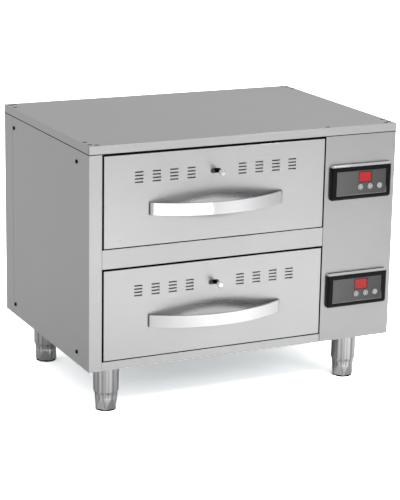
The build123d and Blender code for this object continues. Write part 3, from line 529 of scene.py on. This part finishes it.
# ---------------------------------------------------------------- drawer fronts and tubs
# Each front is a pressed pan of the same sheet, closed by a flat panel behind. The
# scoop for the hand is pressed in. The tub hangs behind it, folded from one blank.
fronts = steel("brushed stainless drawer front", "#CACACA", 0.32, 0.7, 3 * mm)
inside = steel("brushed stainless inside", "#BEBEBE", 0.38, 0.5, 1 * mm)
# The press has smoothed the brush lines in the scoop. The sheet is painted darker the deeper it goes, as painted shade
# in the hollow.
tree = fronts.node_tree
shader = tree.nodes["Principled BSDF"]
place = add(tree, "ShaderNodeTexCoord")
where = add(tree, "ShaderNodeSeparateXYZ", links={0: (place, "Object")})
at_rim = {"From Min": front_y, "From Max": front_y + 1.5 * mm}
pressed = add(tree, "ShaderNodeMapRange", {**at_rim, "To Min": 1, "To Max": 0.75}, {"Value": (where, "Y")})
stretch = add(tree, "ShaderNodeMapRange", {**at_rim, "To Min": 0.7, "To Max": 0.3}, {"Value": (where, "Y")})
scoop_shade_depth = add(tree, "ShaderNodeMapRange", {"From Min": front_y, "From Max": front_y + 3 * mm}, {"Value": (where, "Y")})
rough, plain = (shader.inputs[socket].links[0].from_node for socket in ("Roughness", "Base Color"))
smoother = add(tree, "ShaderNodeMath", {"operation": "MULTIPLY"}, {0: (rough, 0), 1: (pressed, 0)})
scoop_painted_shade = add(tree, "ShaderNodeMix", {"data_type": "RGBA", "blend_type": "MULTIPLY", 7: colour("#E4E4E4")},
            {0: (scoop_shade_depth, 0), 6: (plain, 2)})
drive(tree, shader, {"Base Color": (scoop_painted_shade, 2), "Roughness": (smoother, 0), "Anisotropic": (stretch, 0)})


def run_straight(bm, edges, shift):
    """Carries a loop of edges straight on and returns the new loop."""
    grown = bmesh.ops.extrude_edge_only(bm, edges=edges)["geom"]
    ends = {g for g in grown if isinstance(g, bmesh.types.BMVert)}
    bmesh.ops.translate(bm, verts=list(ends), vec=shift)
    return [g for g in grown if isinstance(g, bmesh.types.BMEdge) and all(v in ends for v in g.verts)]


drawer_x = -70.5 * mm
handle_heights = {"upper": 437.5 * mm, "lower": 203 * mm}
scoop_depth, scoop_rings, scoop_drop = 3.6 * mm, 28, 14 * mm
# Faces this close to the handle's middle belong to the scoop.
near_x, near_z = 150 * mm, 50 * mm
wider_gap = 0.8 * mm


def press_scoop(bm, centre_z):
    """Widens the gaps at the left and top of a front, and gives its scoop a soft rim that runs out into the flat."""
    left_x = drawer_x - 247 * mm
    top_z = max(v.co.z for v in bm.verts) - 1.5 * mm
    for vert in bm.verts:
        if vert.co.x < left_x:
            vert.co.x += wider_gap
        if vert.co.z > top_z:
            vert.co.z -= wider_gap
    pocket = []
    for face in bm.faces:
        middle, normal = face.calc_center_median(), face.normal
        near = abs(middle.x - drawer_x) < near_x and abs(middle.z - centre_z) < near_z
        curved = middle.y > front_y + 9 * mm or max(abs(c) for c in normal) < 0.9999
        if near and curved and middle.y > front_y + 0.001 * mm:
            pocket.append(face)
    bmesh.ops.delete(bm, geom=pocket, context="FACES")
    rims = [e for e in bm.edges if e.is_boundary]
    deep_z = centre_z - scoop_drop
    # The outer and the inner face of the sheet each get a dish, ring by ring from the rim to the middle.
    for sheet_y in (front_y, front_y + 1 * mm):
        loop = [e for e in rims if abs(e.verts[0].co.y - sheet_y) < 0.5 * mm]
        low_z = min(e.verts[0].co.z for e in loop)
        size = 1
        for ring in range(1, scoop_rings):
            smaller = 1 - ring / scoop_rings
            loop = run_straight(bm, loop, (0, 0, 0))
            for vert in {v for e in loop for v in e.verts}:
                vert.co.x = drawer_x + (vert.co.x - drawer_x) * smaller / size
                vert.co.z = deep_z + (vert.co.z - deep_z) * smaller / size
                # The lower rim starts further in, where the strap hides it.
                late = 0.06 + 0.3 * max(0, (vert.co.z - deep_z) / ((low_z - deep_z) * smaller))
                inward = max(0, (1 - smaller - late) / (1 - late))
                vert.co.y = sheet_y + scoop_depth * inward * inward * (3 - 2 * inward)
            size = smaller
        bmesh.ops.holes_fill(bm, edges=loop, sides=0)
    bmesh.ops.recalc_face_normals(bm, faces=bm.faces)
    for face in bm.faces:
        middle = face.calc_center_median()
        sloping = face.normal.length and max(abs(c) for c in face.normal) < 0.99995
        if sloping and middle.y > front_y + 0.02 * mm:
            face.smooth = face.smooth or abs(middle.z - centre_z) < near_z


for drawer, handle_z in handle_heights.items():
    body = f"{drawer}_drawer"
    skin = sheet_copy(f"{drawer}_front_skin", 0.8 * mm, 0.15 * mm, lambda bm: press_scoop(bm, handle_z))
    fit(skin, fronts, "brushed_sheet", body, f"{drawer}_front_skin")
    fit(sheet_copy(f"{drawer}_inner_panel", 0, 0.2 * mm), inside, "brushed_sheet", body, f"{drawer}_inner_panel")
    fit(sheet_copy(f"{drawer}_tub", 1.2 * mm, 0.2 * mm), inside, "brushed_sheet", body, f"{drawer}_tub")


# ---------------------------------------------------------------- handles
# A flat stainless strap, 26 by 5 mm, bowed forward and turned back at both ends
# onto the front, where it is welded. Its outside is polished, its back is not.
polished, tree, shader, place = new_finish("polished stainless strap", {"Metallic": 1})
facing = add(tree, "ShaderNodeSeparateXYZ", links={0: (place, "Normal")})
where = add(tree, "ShaderNodeSeparateXYZ", links={0: (place, "Object")})
back = add(tree, "ShaderNodeMapRange", {"From Min": -0.1, "From Max": 0.3}, {"Value": (facing, "Y")})
tilt = add(tree, "ShaderNodeMath", {"operation": "ABSOLUTE"}, {0: (facing, "Z")})
mill_edge = add(tree, "ShaderNodeMapRange", {"From Min": 0.75, "From Max": 0.95, "To Max": 0.8}, {"Value": (tilt, 0)})
unpolished = add(tree, "ShaderNodeMath", {"operation": "MAXIMUM"}, {0: (back, 0), 1: (mill_edge, 0)})
# The last 5 mm at each end, where the strap meets the front, are painted dark brown as painted shade.
heat = add(tree, "ShaderNodeMapRange", {"From Min": front_y - 5.5 * mm, "From Max": front_y - 1.5 * mm},
           {"Value": (where, "Y")})
# The buffing wheel leaves soft bands about 20 mm long across the strap.
bands_at = add(tree, "ShaderNodeMapping", {"Scale": (50, 50, 14)}, {0: (place, "Object")})
bands = add(tree, "ShaderNodeTexNoise", {"Scale": 1, "Detail": 2, "Roughness": 0.4}, {"Vector": (bands_at, 0)})
bare = add(tree, "ShaderNodeMix", {"data_type": "RGBA", 6: colour("#E6E6E8"), 7: colour("#868688")},
           {0: (unpolished, 0)})
strap_ends_painted_dark = add(tree, "ShaderNodeMix", {"data_type": "RGBA", 7: colour("#2B2724")}, {0: (heat, 0), 6: (bare, 2)})
buffed = add(tree, "ShaderNodeMapRange", {"To Min": 0.05, "To Max": 0.13}, {"Value": (bands, 0)})
mill = add(tree, "ShaderNodeMapRange", {"To Min": 0, "To Max": 0.35}, {"Value": (unpolished, 0)})
rough = add(tree, "ShaderNodeMath", {"operation": "ADD"}, {0: (buffed, 0), 1: (mill, 0)})
ripple = add(tree, "ShaderNodeBump", {"Strength": 1, "Distance": 0.3 * mm}, {"Height": (bands, 0)})
drive(tree, shader, {"Base Color": (strap_ends_painted_dark, 2), "Roughness": (rough, 0), "Normal": (ripple, 0)})


def run_round(bm, edges, centre, angle, steps):
    """Carries a loop of edges round an upright axis through centre and returns the new loop."""
    verts = list({v for e in edges for v in e.verts})
    last = bmesh.ops.spin(bm, geom=verts + edges, cent=centre, axis=(0, 0, 1), angle=angle, steps=steps)["geom_last"]
    return [g for g in last if isinstance(g, bmesh.types.BMEdge)]


strap_half, strap_slope = 147.5 * mm, radians(31)
strap_bend, strap_bow = 3.5 * mm, 45.5 * mm
half_thick, half_high = 2.5 * mm, 13 * mm
strap_turn = pi / 2 - strap_slope
strap_radius = (strap_half - strap_bend * (1 - cos(strap_turn))) / sin(strap_slope)
strap_leg = strap_bow - strap_radius * (1 - cos(strap_slope)) - strap_bend * sin(strap_turn)
for drawer, handle_z in handle_heights.items():
    bm = bmesh.new()
    corners = [bm.verts.new((drawer_x - strap_half + x * half_thick, front_y, handle_z + z * half_high))
               for x, z in ((-1, -1), (1, -1), (1, 1), (-1, 1))]
    bm.faces.new(corners)
    bmesh.ops.bevel(bm, geom=corners, offset=0.9 * mm, offset_type="OFFSET", affect="VERTICES", segments=4,
                    profile=0.5, material=-1)
    bmesh.ops.delete(bm, geom=bm.faces[:], context="FACES_ONLY")
    loop = run_straight(bm, bm.edges[:], (0, -strap_leg, 0))
    loop = run_round(bm, loop, (drawer_x - strap_half + strap_bend, front_y - strap_leg, 0), strap_turn, 8)
    loop = run_round(bm, loop, (drawer_x, front_y + strap_radius - strap_bow, 0), 2 * strap_slope, 60)
    loop = run_round(bm, loop, (drawer_x + strap_half - strap_bend, front_y - strap_leg, 0), strap_turn, 8)
    run_straight(bm, loop, (0, strap_leg, 0))
    bmesh.ops.holes_fill(bm, edges=[e for e in bm.edges if e.is_boundary], sides=0)
    bmesh.ops.recalc_face_normals(bm, faces=bm.faces)
    shade_round(bm, 9)
    fit(piece_from(bm, f"{drawer}_handle_finished"), polished, "polished_steel", f"{drawer}_drawer", f"{drawer}_handle")


# ---------------------------------------------------------------- vent slides and knobs
# Behind the slots of each front a plate with the same slots slides sideways. Its knob is a polished stainless button on
# a stem that passes through a track; the stem is painted black as a painted reflection.
# The slide's steel is painted dark grey, as painted shade in the slots.
shaded_slide_steel = steel("unpolished slide sheet painted dark", "#5C5C5C", 0.5, 0, 0)
button = mottled("polished stainless button", {"Metallic": 1}, "#DADADC", "#EAEAEC", 0.06, 0.14, 2 * mm, 3)

head_profile = [(0, -28), (5.2, -28), (6.5, -26), (6.5, -20), (5.2, -18), (3.2, -18), (3.2, -18.6), (0, -18.6)]
stem_profile = [(0, -18.5), (3, -18.5), (3, -2), (4.3, -2), (4.5, -1.8), (4.5, 1.5), (2, 1.5), (2, 3.9), (0, 3.9)]
for drawer, vent_z in (("upper", 503.8 * mm), ("lower", 269.3 * mm)):
    body = f"{drawer}_vent"
    fit(sheet_copy(f"{drawer}_vent_slide", 0, 0.1 * mm), shaded_slide_steel, "brushed_sheet", body, f"{drawer}_vent_slide")
    bm = bmesh.new()
    turn_profile(bm, (drawer_x, front_y, vent_z), (0, 1, 0), head_profile)
    soften(bm, 1.1 * mm, 4, 30)
    shade_round(bm, 40)
    fit(piece_from(bm, f"{drawer}_knob_button"), button, "polished_steel", body, f"{drawer}_vent_knob")
    # The stem is painted black, as the dark reflection a polished neck shows.
    bm = bmesh.new()
    turn_profile(bm, (drawer_x, front_y, vent_z), (0, 1, 0), stem_profile, 32)
    shade_round(bm)
    fit(piece_from(bm, f"{drawer}_knob_stem"), rubber, "black_moulding", body)


# ---------------------------------------------------------------- gaskets and wool
# A moulded silicone ring seals each drawer against its liner. Mineral wool slabs
# fill the fronts and surround both liners.
silicone = mottled("moulded silicone", {"Specular IOR Level": 0.4}, "#BDB9AF", "#CFCBC2", 0.45, 0.65, 15 * mm, 3)

wool, tree, shader, place = new_finish("mineral wool slab", {"Roughness": 0.95, "Specular IOR Level": 0.1})
# The fibres lie level, a few millimetres long, in clumps of straw and brown.
lay = add(tree, "ShaderNodeMapping", {"Scale": (250, 250, 900)}, {0: (place, "Object")})
fibres = add(tree, "ShaderNodeTexNoise", {"Scale": 1, "Detail": 6, "Roughness": 0.7}, {"Vector": (lay, 0)})
straw = add(tree, "ShaderNodeMix", {"data_type": "RGBA", 6: colour("#8F8154"), 7: colour("#D2C799")}, {0: (fibres, 0)})
nap = add(tree, "ShaderNodeBump", {"Strength": 0.8, "Distance": 1 * mm}, {"Height": (fibres, 0)})
drive(tree, shader, {"Base Color": (straw, 2), "Normal": (nap, 0)})

for drawer in ("upper", "lower"):
    body = f"{drawer}_drawer"
    fit(sheet_copy(f"{drawer}_gasket", 1.5 * mm, 0.4 * mm), silicone, "silicone", body, f"{drawer}_gasket")
    cad[f"{drawer}_front_insulation"].material_slots[0].material = wool
cad["insulation"].material_slots[0].material = wool


# ---------------------------------------------------------------- liners, heaters and probes
# Each drawer slides into a box of stainless sheet. A tubular element lies on its
# floor in two saddles, and a probe comes in through its right wall.
sheath, tree, shader, place = new_finish("heat-stained element sheath", {"Metallic": 1})
# Heat colours the sheath in cloudy patches 20 mm long, from straw to blue-grey.
patch = add(tree, "ShaderNodeTexNoise", {"Scale": 1 / (20 * mm), "Detail": 4}, {"Vector": (place, "Object")})
stain = add(tree, "ShaderNodeMapRange", {"From Min": 0.35, "From Max": 0.65}, {"Value": (patch, 0)})
burnt = add(tree, "ShaderNodeMix", {"data_type": "RGBA", 6: colour("#7B6A56"), 7: colour("#5C6068")}, {0: (stain, 0)})
scale = add(tree, "ShaderNodeMapRange", {"To Min": 0.35, "To Max": 0.55}, {"Value": (patch, 0)})
drive(tree, shader, {"Base Color": (burnt, 2), "Roughness": (scale, 0)})

for drawer in ("upper", "lower"):
    fit(sheet_copy(f"{drawer}_liner", 0.8 * mm, 0.2 * mm), inside, "brushed_sheet", "cabinet", f"{drawer}_liner")
    cad[f"{drawer}_heater"].material_slots[0].material = sheath
cad["temperature_probes"].material_slots[0].material = sheath


# ---------------------------------------------------------------- runners
# Three-part telescopic runners, rolled from zinc-plated strip: one part on the
# liner's wall, one on the tub and one between them.
plated, tree, shader, place = new_finish("zinc-plated runner", {"Metallic": 1})
# Rolling marks run along the rail, and the plating has a faint blue cast.
rolled_at = add(tree, "ShaderNodeMapping", {"Scale": (900, 12, 900)}, {0: (place, "Object")})
rolled = add(tree, "ShaderNodeTexNoise", {"Scale": 1, "Detail": 3}, {"Vector": (rolled_at, 0)})
cast = add(tree, "ShaderNodeMix", {"data_type": "RGBA", 6: colour("#A8ADB2"), 7: colour("#C2C6CA")}, {0: (rolled, 0)})
sheen = add(tree, "ShaderNodeMapRange", {"To Min": 0.26, "To Max": 0.4}, {"Value": (rolled, 0)})
drive(tree, shader, {"Base Color": (cast, 2), "Roughness": (sheen, 0)})

for drawer in ("upper", "lower"):
    for part, body in (("fixed", "cabinet"), ("middle", f"{drawer}_runner_middles"), ("sliding", f"{drawer}_drawer")):
        node = f"{drawer}_{part}_rails"
        fit(sheet_copy(node, 0.5 * mm, 0.1 * mm), plated, "galvanised_sheet", body, node)


# ---------------------------------------------------------------- controllers
# A glossy black bezel clips into the fascia round a grey polyester film. A red
# window covers two seven-segment digits, and three round keys stand below it.
moulding, tree, shader, place = new_finish("glossy black ABS", {"Specular IOR Level": 0.15})
# Flow marks about 12 mm long, too faint to see but in the gloss.
flow = add(tree, "ShaderNodeTexNoise", {"Scale": 1 / (12 * mm), "Detail": 3}, {"Vector": (place, "Object")})
black = add(tree, "ShaderNodeMix", {"data_type": "RGBA", 6: colour("#050505"), 7: colour("#0A0A0B")}, {0: (flow, 0)})
gloss = add(tree, "ShaderNodeMapRange", {"To Min": 0.05, "To Max": 0.09}, {"Value": (flow, 0)})
skin = add(tree, "ShaderNodeBump", {"Strength": 0.3, "Distance": 0.4 * mm}, {"Height": (flow, 0)})
# The rounded upper edges are painted grey, as a painted highlight.
facing = add(tree, "ShaderNodeSeparateXYZ", links={0: (place, "Normal")})
rising = add(tree, "ShaderNodeMapRange", {"From Min": 0.15, "From Max": 0.4}, {"Value": (facing, "Z")})
falling = add(tree, "ShaderNodeMapRange", {"From Min": 0.9, "From Max": 0.98, "To Min": 1, "To Max": 0},
              {"Value": (facing, "Z")})
highlight_mask = add(tree, "ShaderNodeMath", {"operation": "MULTIPLY"}, {0: (rising, 0), 1: (falling, 0)})
wear_and_highlight = add(tree, "ShaderNodeMix", {"data_type": "RGBA", 7: colour("#9A9A9A")}, {0: (highlight_mask, 0), 6: (black, 2)})
drive(tree, shader, {"Base Color": (wear_and_highlight, 2), "Roughness": (gloss, 0), "Normal": (skin, 0)})

film, tree, shader, place = new_finish("printed grey polyester film", {})
where = add(tree, "ShaderNodeSeparateXYZ", links={0: (place, "Object")})
# The grey is lighter at the left and darker at the right, over a 0.5 mm pebbled grain.
fade = add(tree, "ShaderNodeMapRange", {"From Min": 0.215, "From Max": 0.325}, {"Value": (where, "X")})
grey = add(tree, "ShaderNodeMix", {"data_type": "RGBA", 6: colour("#505050"), 7: colour("#3A3A3B")}, {0: (fade, 0)})
pebble = add(tree, "ShaderNodeTexNoise", {"Scale": 1 / (0.5 * mm), "Detail": 1}, {"Vector": (place, "Object")})
fine = add(tree, "ShaderNodeMapRange", {"To Min": 0.25, "To Max": 0.4}, {"Value": (pebble, 0)})
grain = add(tree, "ShaderNodeBump", {"Strength": 0.2, "Distance": 0.05 * mm}, {"Height": (pebble, 0)})
drive(tree, shader, {"Base Color": (grey, 2), "Roughness": (fine, 0), "Normal": (grain, 0)})

# Coloured acrylic, moulded caps and screen-printed inks, each with a faint mottle.
red_filter = mottled("red acrylic filter", {}, "#A01014", "#AE1418", 0.10, 0.22, 6 * mm)
unlit = mottled("unlit segments", {}, "#8A1012", "#981214", 0.24, 0.36, 3 * mm)
# The dark border round the display window is painted shade.
display_border_shade = mottled("dark border painted as shade", {}, "#140A0A", "#1C0E0E", 0.29, 0.41, 2 * mm)
key_cap = mottled("grey key cap", {}, "#747474", "#828282", 0.26, 0.38, 3 * mm)
light_print = mottled("pale grey print", {}, "#A6A6A6", "#B4B4B4", 0.34, 0.46, 2 * mm)

board, tree, shader, place = new_finish("lacquered circuit board", {})
# Copper tracks show through the lacquer as a lighter green net, about 4 mm apart.
net = add(tree, "ShaderNodeTexVoronoi", {"feature": "DISTANCE_TO_EDGE", "distance": "MANHATTAN",
                                         "Scale": 1 / (4 * mm)}, {"Vector": (place, "Object")})
track = add(tree, "ShaderNodeMapRange", {"From Min": 0.05, "From Max": 0.09}, {"Value": (net, "Distance")})
green = add(tree, "ShaderNodeMix", {"data_type": "RGBA", 6: colour("#2F7A45"), 7: colour("#12492A")}, {0: (track, 0)})
lacquer = add(tree, "ShaderNodeMapRange", {"To Min": 0.25, "To Max": 0.4}, {"Value": (track, 0)})
drive(tree, shader, {"Base Color": (green, 2), "Roughness": (lacquer, 0)})

bay_x, film_y = 265.5 * mm, front_y - 7.5 * mm
print_thickness, segment_thickness, border_width = 0.12 * mm, 0.08 * mm, 1.9 * mm
first_key, key_pitch, key_drop = -2.3 * mm, 23.2 * mm, 10 * mm
ring_outer, ring_inner, icon_radius = 5.6 * mm, 4.6 * mm, 3.3 * mm
to_front = Matrix.Rotation(pi / 2, 4, "X")


def hollow(bm, shape, width):
    """Cuts a flat shape down to a border of the given width and returns it."""
    border = bmesh.ops.inset_region(bm, faces=shape, thickness=width, use_boundary=True, use_even_offset=True)["faces"]
    bmesh.ops.delete(bm, geom=shape, context="FACES")
    return border


def thicken(bm, faces, thickness):
    """Raises flat faces towards the front."""
    raised = bmesh.ops.extrude_face_region(bm, geom=faces)["geom"]
    bmesh.ops.translate(bm, verts=[g for g in raised if isinstance(g, bmesh.types.BMVert)], vec=(0, -thickness, 0))


def add_polygon(bm, segments, radius, matrix):
    """Adds a flat polygon and returns its face in a list."""
    verts = bmesh.ops.create_circle(bm, cap_ends=True, segments=segments, radius=radius, matrix=matrix)["verts"]
    return list({f for v in verts for f in v.link_faces})


def print_ring(bm, segments, outer, inner, place, turn=0):
    """A flat printed shape that faces the front: a circle or polygon, with its middle left out if inner is set."""
    shape = add_polygon(bm, segments, outer, Matrix.Translation(place) @ to_front @ Matrix.Rotation(turn, 4, "Z"))
    if inner:
        shape = hollow(bm, shape, (outer - inner) * cos(pi / segments))
    thicken(bm, shape, print_thickness)


def segment_bar(bm, centre, length, width, upright):
    """One pointed bar of a seven-segment digit."""
    turn = Matrix.Rotation(pi / 2 if upright else 0, 4, "Y")
    size = Matrix.Diagonal((length / 2, width / 2 / 0.866, 1, 1))
    thicken(bm, add_polygon(bm, 6, 1, Matrix.Translation(centre) @ turn @ to_front @ size), segment_thickness)


for drawer, window_z in (("upper", 453 * mm), ("lower", 218.5 * mm)):
    bm = solid_copy(f"{drawer}_controller_housing")
    outer = [e for e in edges_over(bm, 30) if e.is_convex and max(v.co.y for v in e.verts) < film_y]
    for face in round_edges(bm, outer, 1 * mm, 3):
        face.smooth = True
    fit(piece_from(bm, f"{drawer}_bezel"), moulding, "black_moulding", "cabinet", f"{drawer}_controller_housing")
    cad[f"{drawer}_controller_face"].material_slots[0].material = film
    cad[f"{drawer}_controller_board"].material_slots[0].material = board
    cad[f"{drawer}_display"].material_slots[0].material = red_filter

    display_x, display_z = bay_x + 9 * mm, window_z + 11 * mm
    bm = bmesh.new()
    for digit_x in (display_x - 6.5 * mm, display_x + 6.5 * mm):
        for x, z, upright in ((0, 7, False), (0, 0, False), (0, -7, False), (-4, 3.5, True), (4, 3.5, True),
                              (-4, -3.5, True), (4, -3.5, True)):
            segment_bar(bm, (digit_x + x * mm, film_y + 0.2 * mm, display_z + z * mm), 6.6 * mm, 1.8 * mm, upright)
    bmesh.ops.recalc_face_normals(bm, faces=bm.faces)
    fit(piece_from(bm, f"{drawer}_digits"), unlit, "red_display", "cabinet")

    # A dark border round the display window, as painted shade at its edges.
    bm = bmesh.new()
    display_low, display_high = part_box(f"{drawer}_display")
    half = (display_high - display_low) / 2 + Vector((0.8, 0, 0.8)) * mm
    upright = Matrix.Translation((display_x, film_y, display_z)) @ to_front
    bmesh.ops.create_grid(bm, x_segments=1, y_segments=1, size=1,
                          matrix=upright @ Matrix.Diagonal((half.x, half.z, 1, 1)))
    thicken(bm, hollow(bm, bm.faces[:], border_width), print_thickness)
    bmesh.ops.recalc_face_normals(bm, faces=bm.faces)
    fit(piece_from(bm, f"{drawer}_display_border"), display_border_shade, "grey_face", "cabinet")

    # Two filled triangles and a ring: the number of sides, the hole's radius and the turn of each.
    for number, (key, sides, hole, turn) in enumerate((("up", 3, 0, pi / 2), ("down", 3, 0, -pi / 2),
                                                       ("set", 32, 1.7, 0))):
        node = f"{drawer}_key_{key}"
        cad[node].material_slots[0].material = key_cap
        place = (bay_x + first_key + number * key_pitch, film_y - 1 * mm, window_z - key_drop)
        bm = bmesh.new()
        print_ring(bm, 40, ring_outer, ring_inner, place)
        print_ring(bm, sides, icon_radius, hole * mm, place, turn)
        bmesh.ops.recalc_face_normals(bm, faces=bm.faces)
        fit(piece_from(bm, f"{node}_print"), light_print, "key_grey", f"{drawer}_{key}_key")


# ---------------------------------------------------------------- cable gland
# A black polyamide gland for the supply cord: a six-sided dome nut outside the
# rear panel, a threaded neck through it, a lock nut inside and a rubber seal.
polyamide = mottled("black polyamide", {}, "#101010", "#1C1C1C", 0.35, 0.5, 0.6 * mm)

gland_place = (bay_x, 261 * mm, 168 * mm)
dome_profile = [(4, 16), (6.6, 16), (8.6, 14), (9.4, 10), (9.4, 5.6), (4, 5.6), (4, 16)]
neck_profile = [(4, 5.6), (7.8, 5.6), (7.8, -5.2), (4, -5.2), (4, 5.6)]
seal_profile = [(0, 12), (3.2, 12), (3.9, 12.8), (3.9, 4), (0, 4)]
bm = bmesh.new()
for profile in (dome_profile, neck_profile):
    turn_profile(bm, gland_place, (0, 1, 0), profile)
# A nut turned in six steps has six sides.
for start, end in ((0, 5.6), (-5.2, -1.2)):
    nut_profile = [(7.9, start), (11, start), (11, end), (7.9, end), (7.9, start)]
    turn_profile(bm, gland_place, (0, 1, 0), nut_profile, 6)
soften(bm, 0.4 * mm, 2)
fit(piece_from(bm, "cable_gland_finished"), polyamide, "black_moulding", "cabinet", "cable_gland")
bm = bmesh.new()
turn_profile(bm, gland_place, (0, 1, 0), seal_profile)
shade_round(bm)
fit(piece_from(bm, "gland_seal"), rubber, "black_moulding", "cabinet")
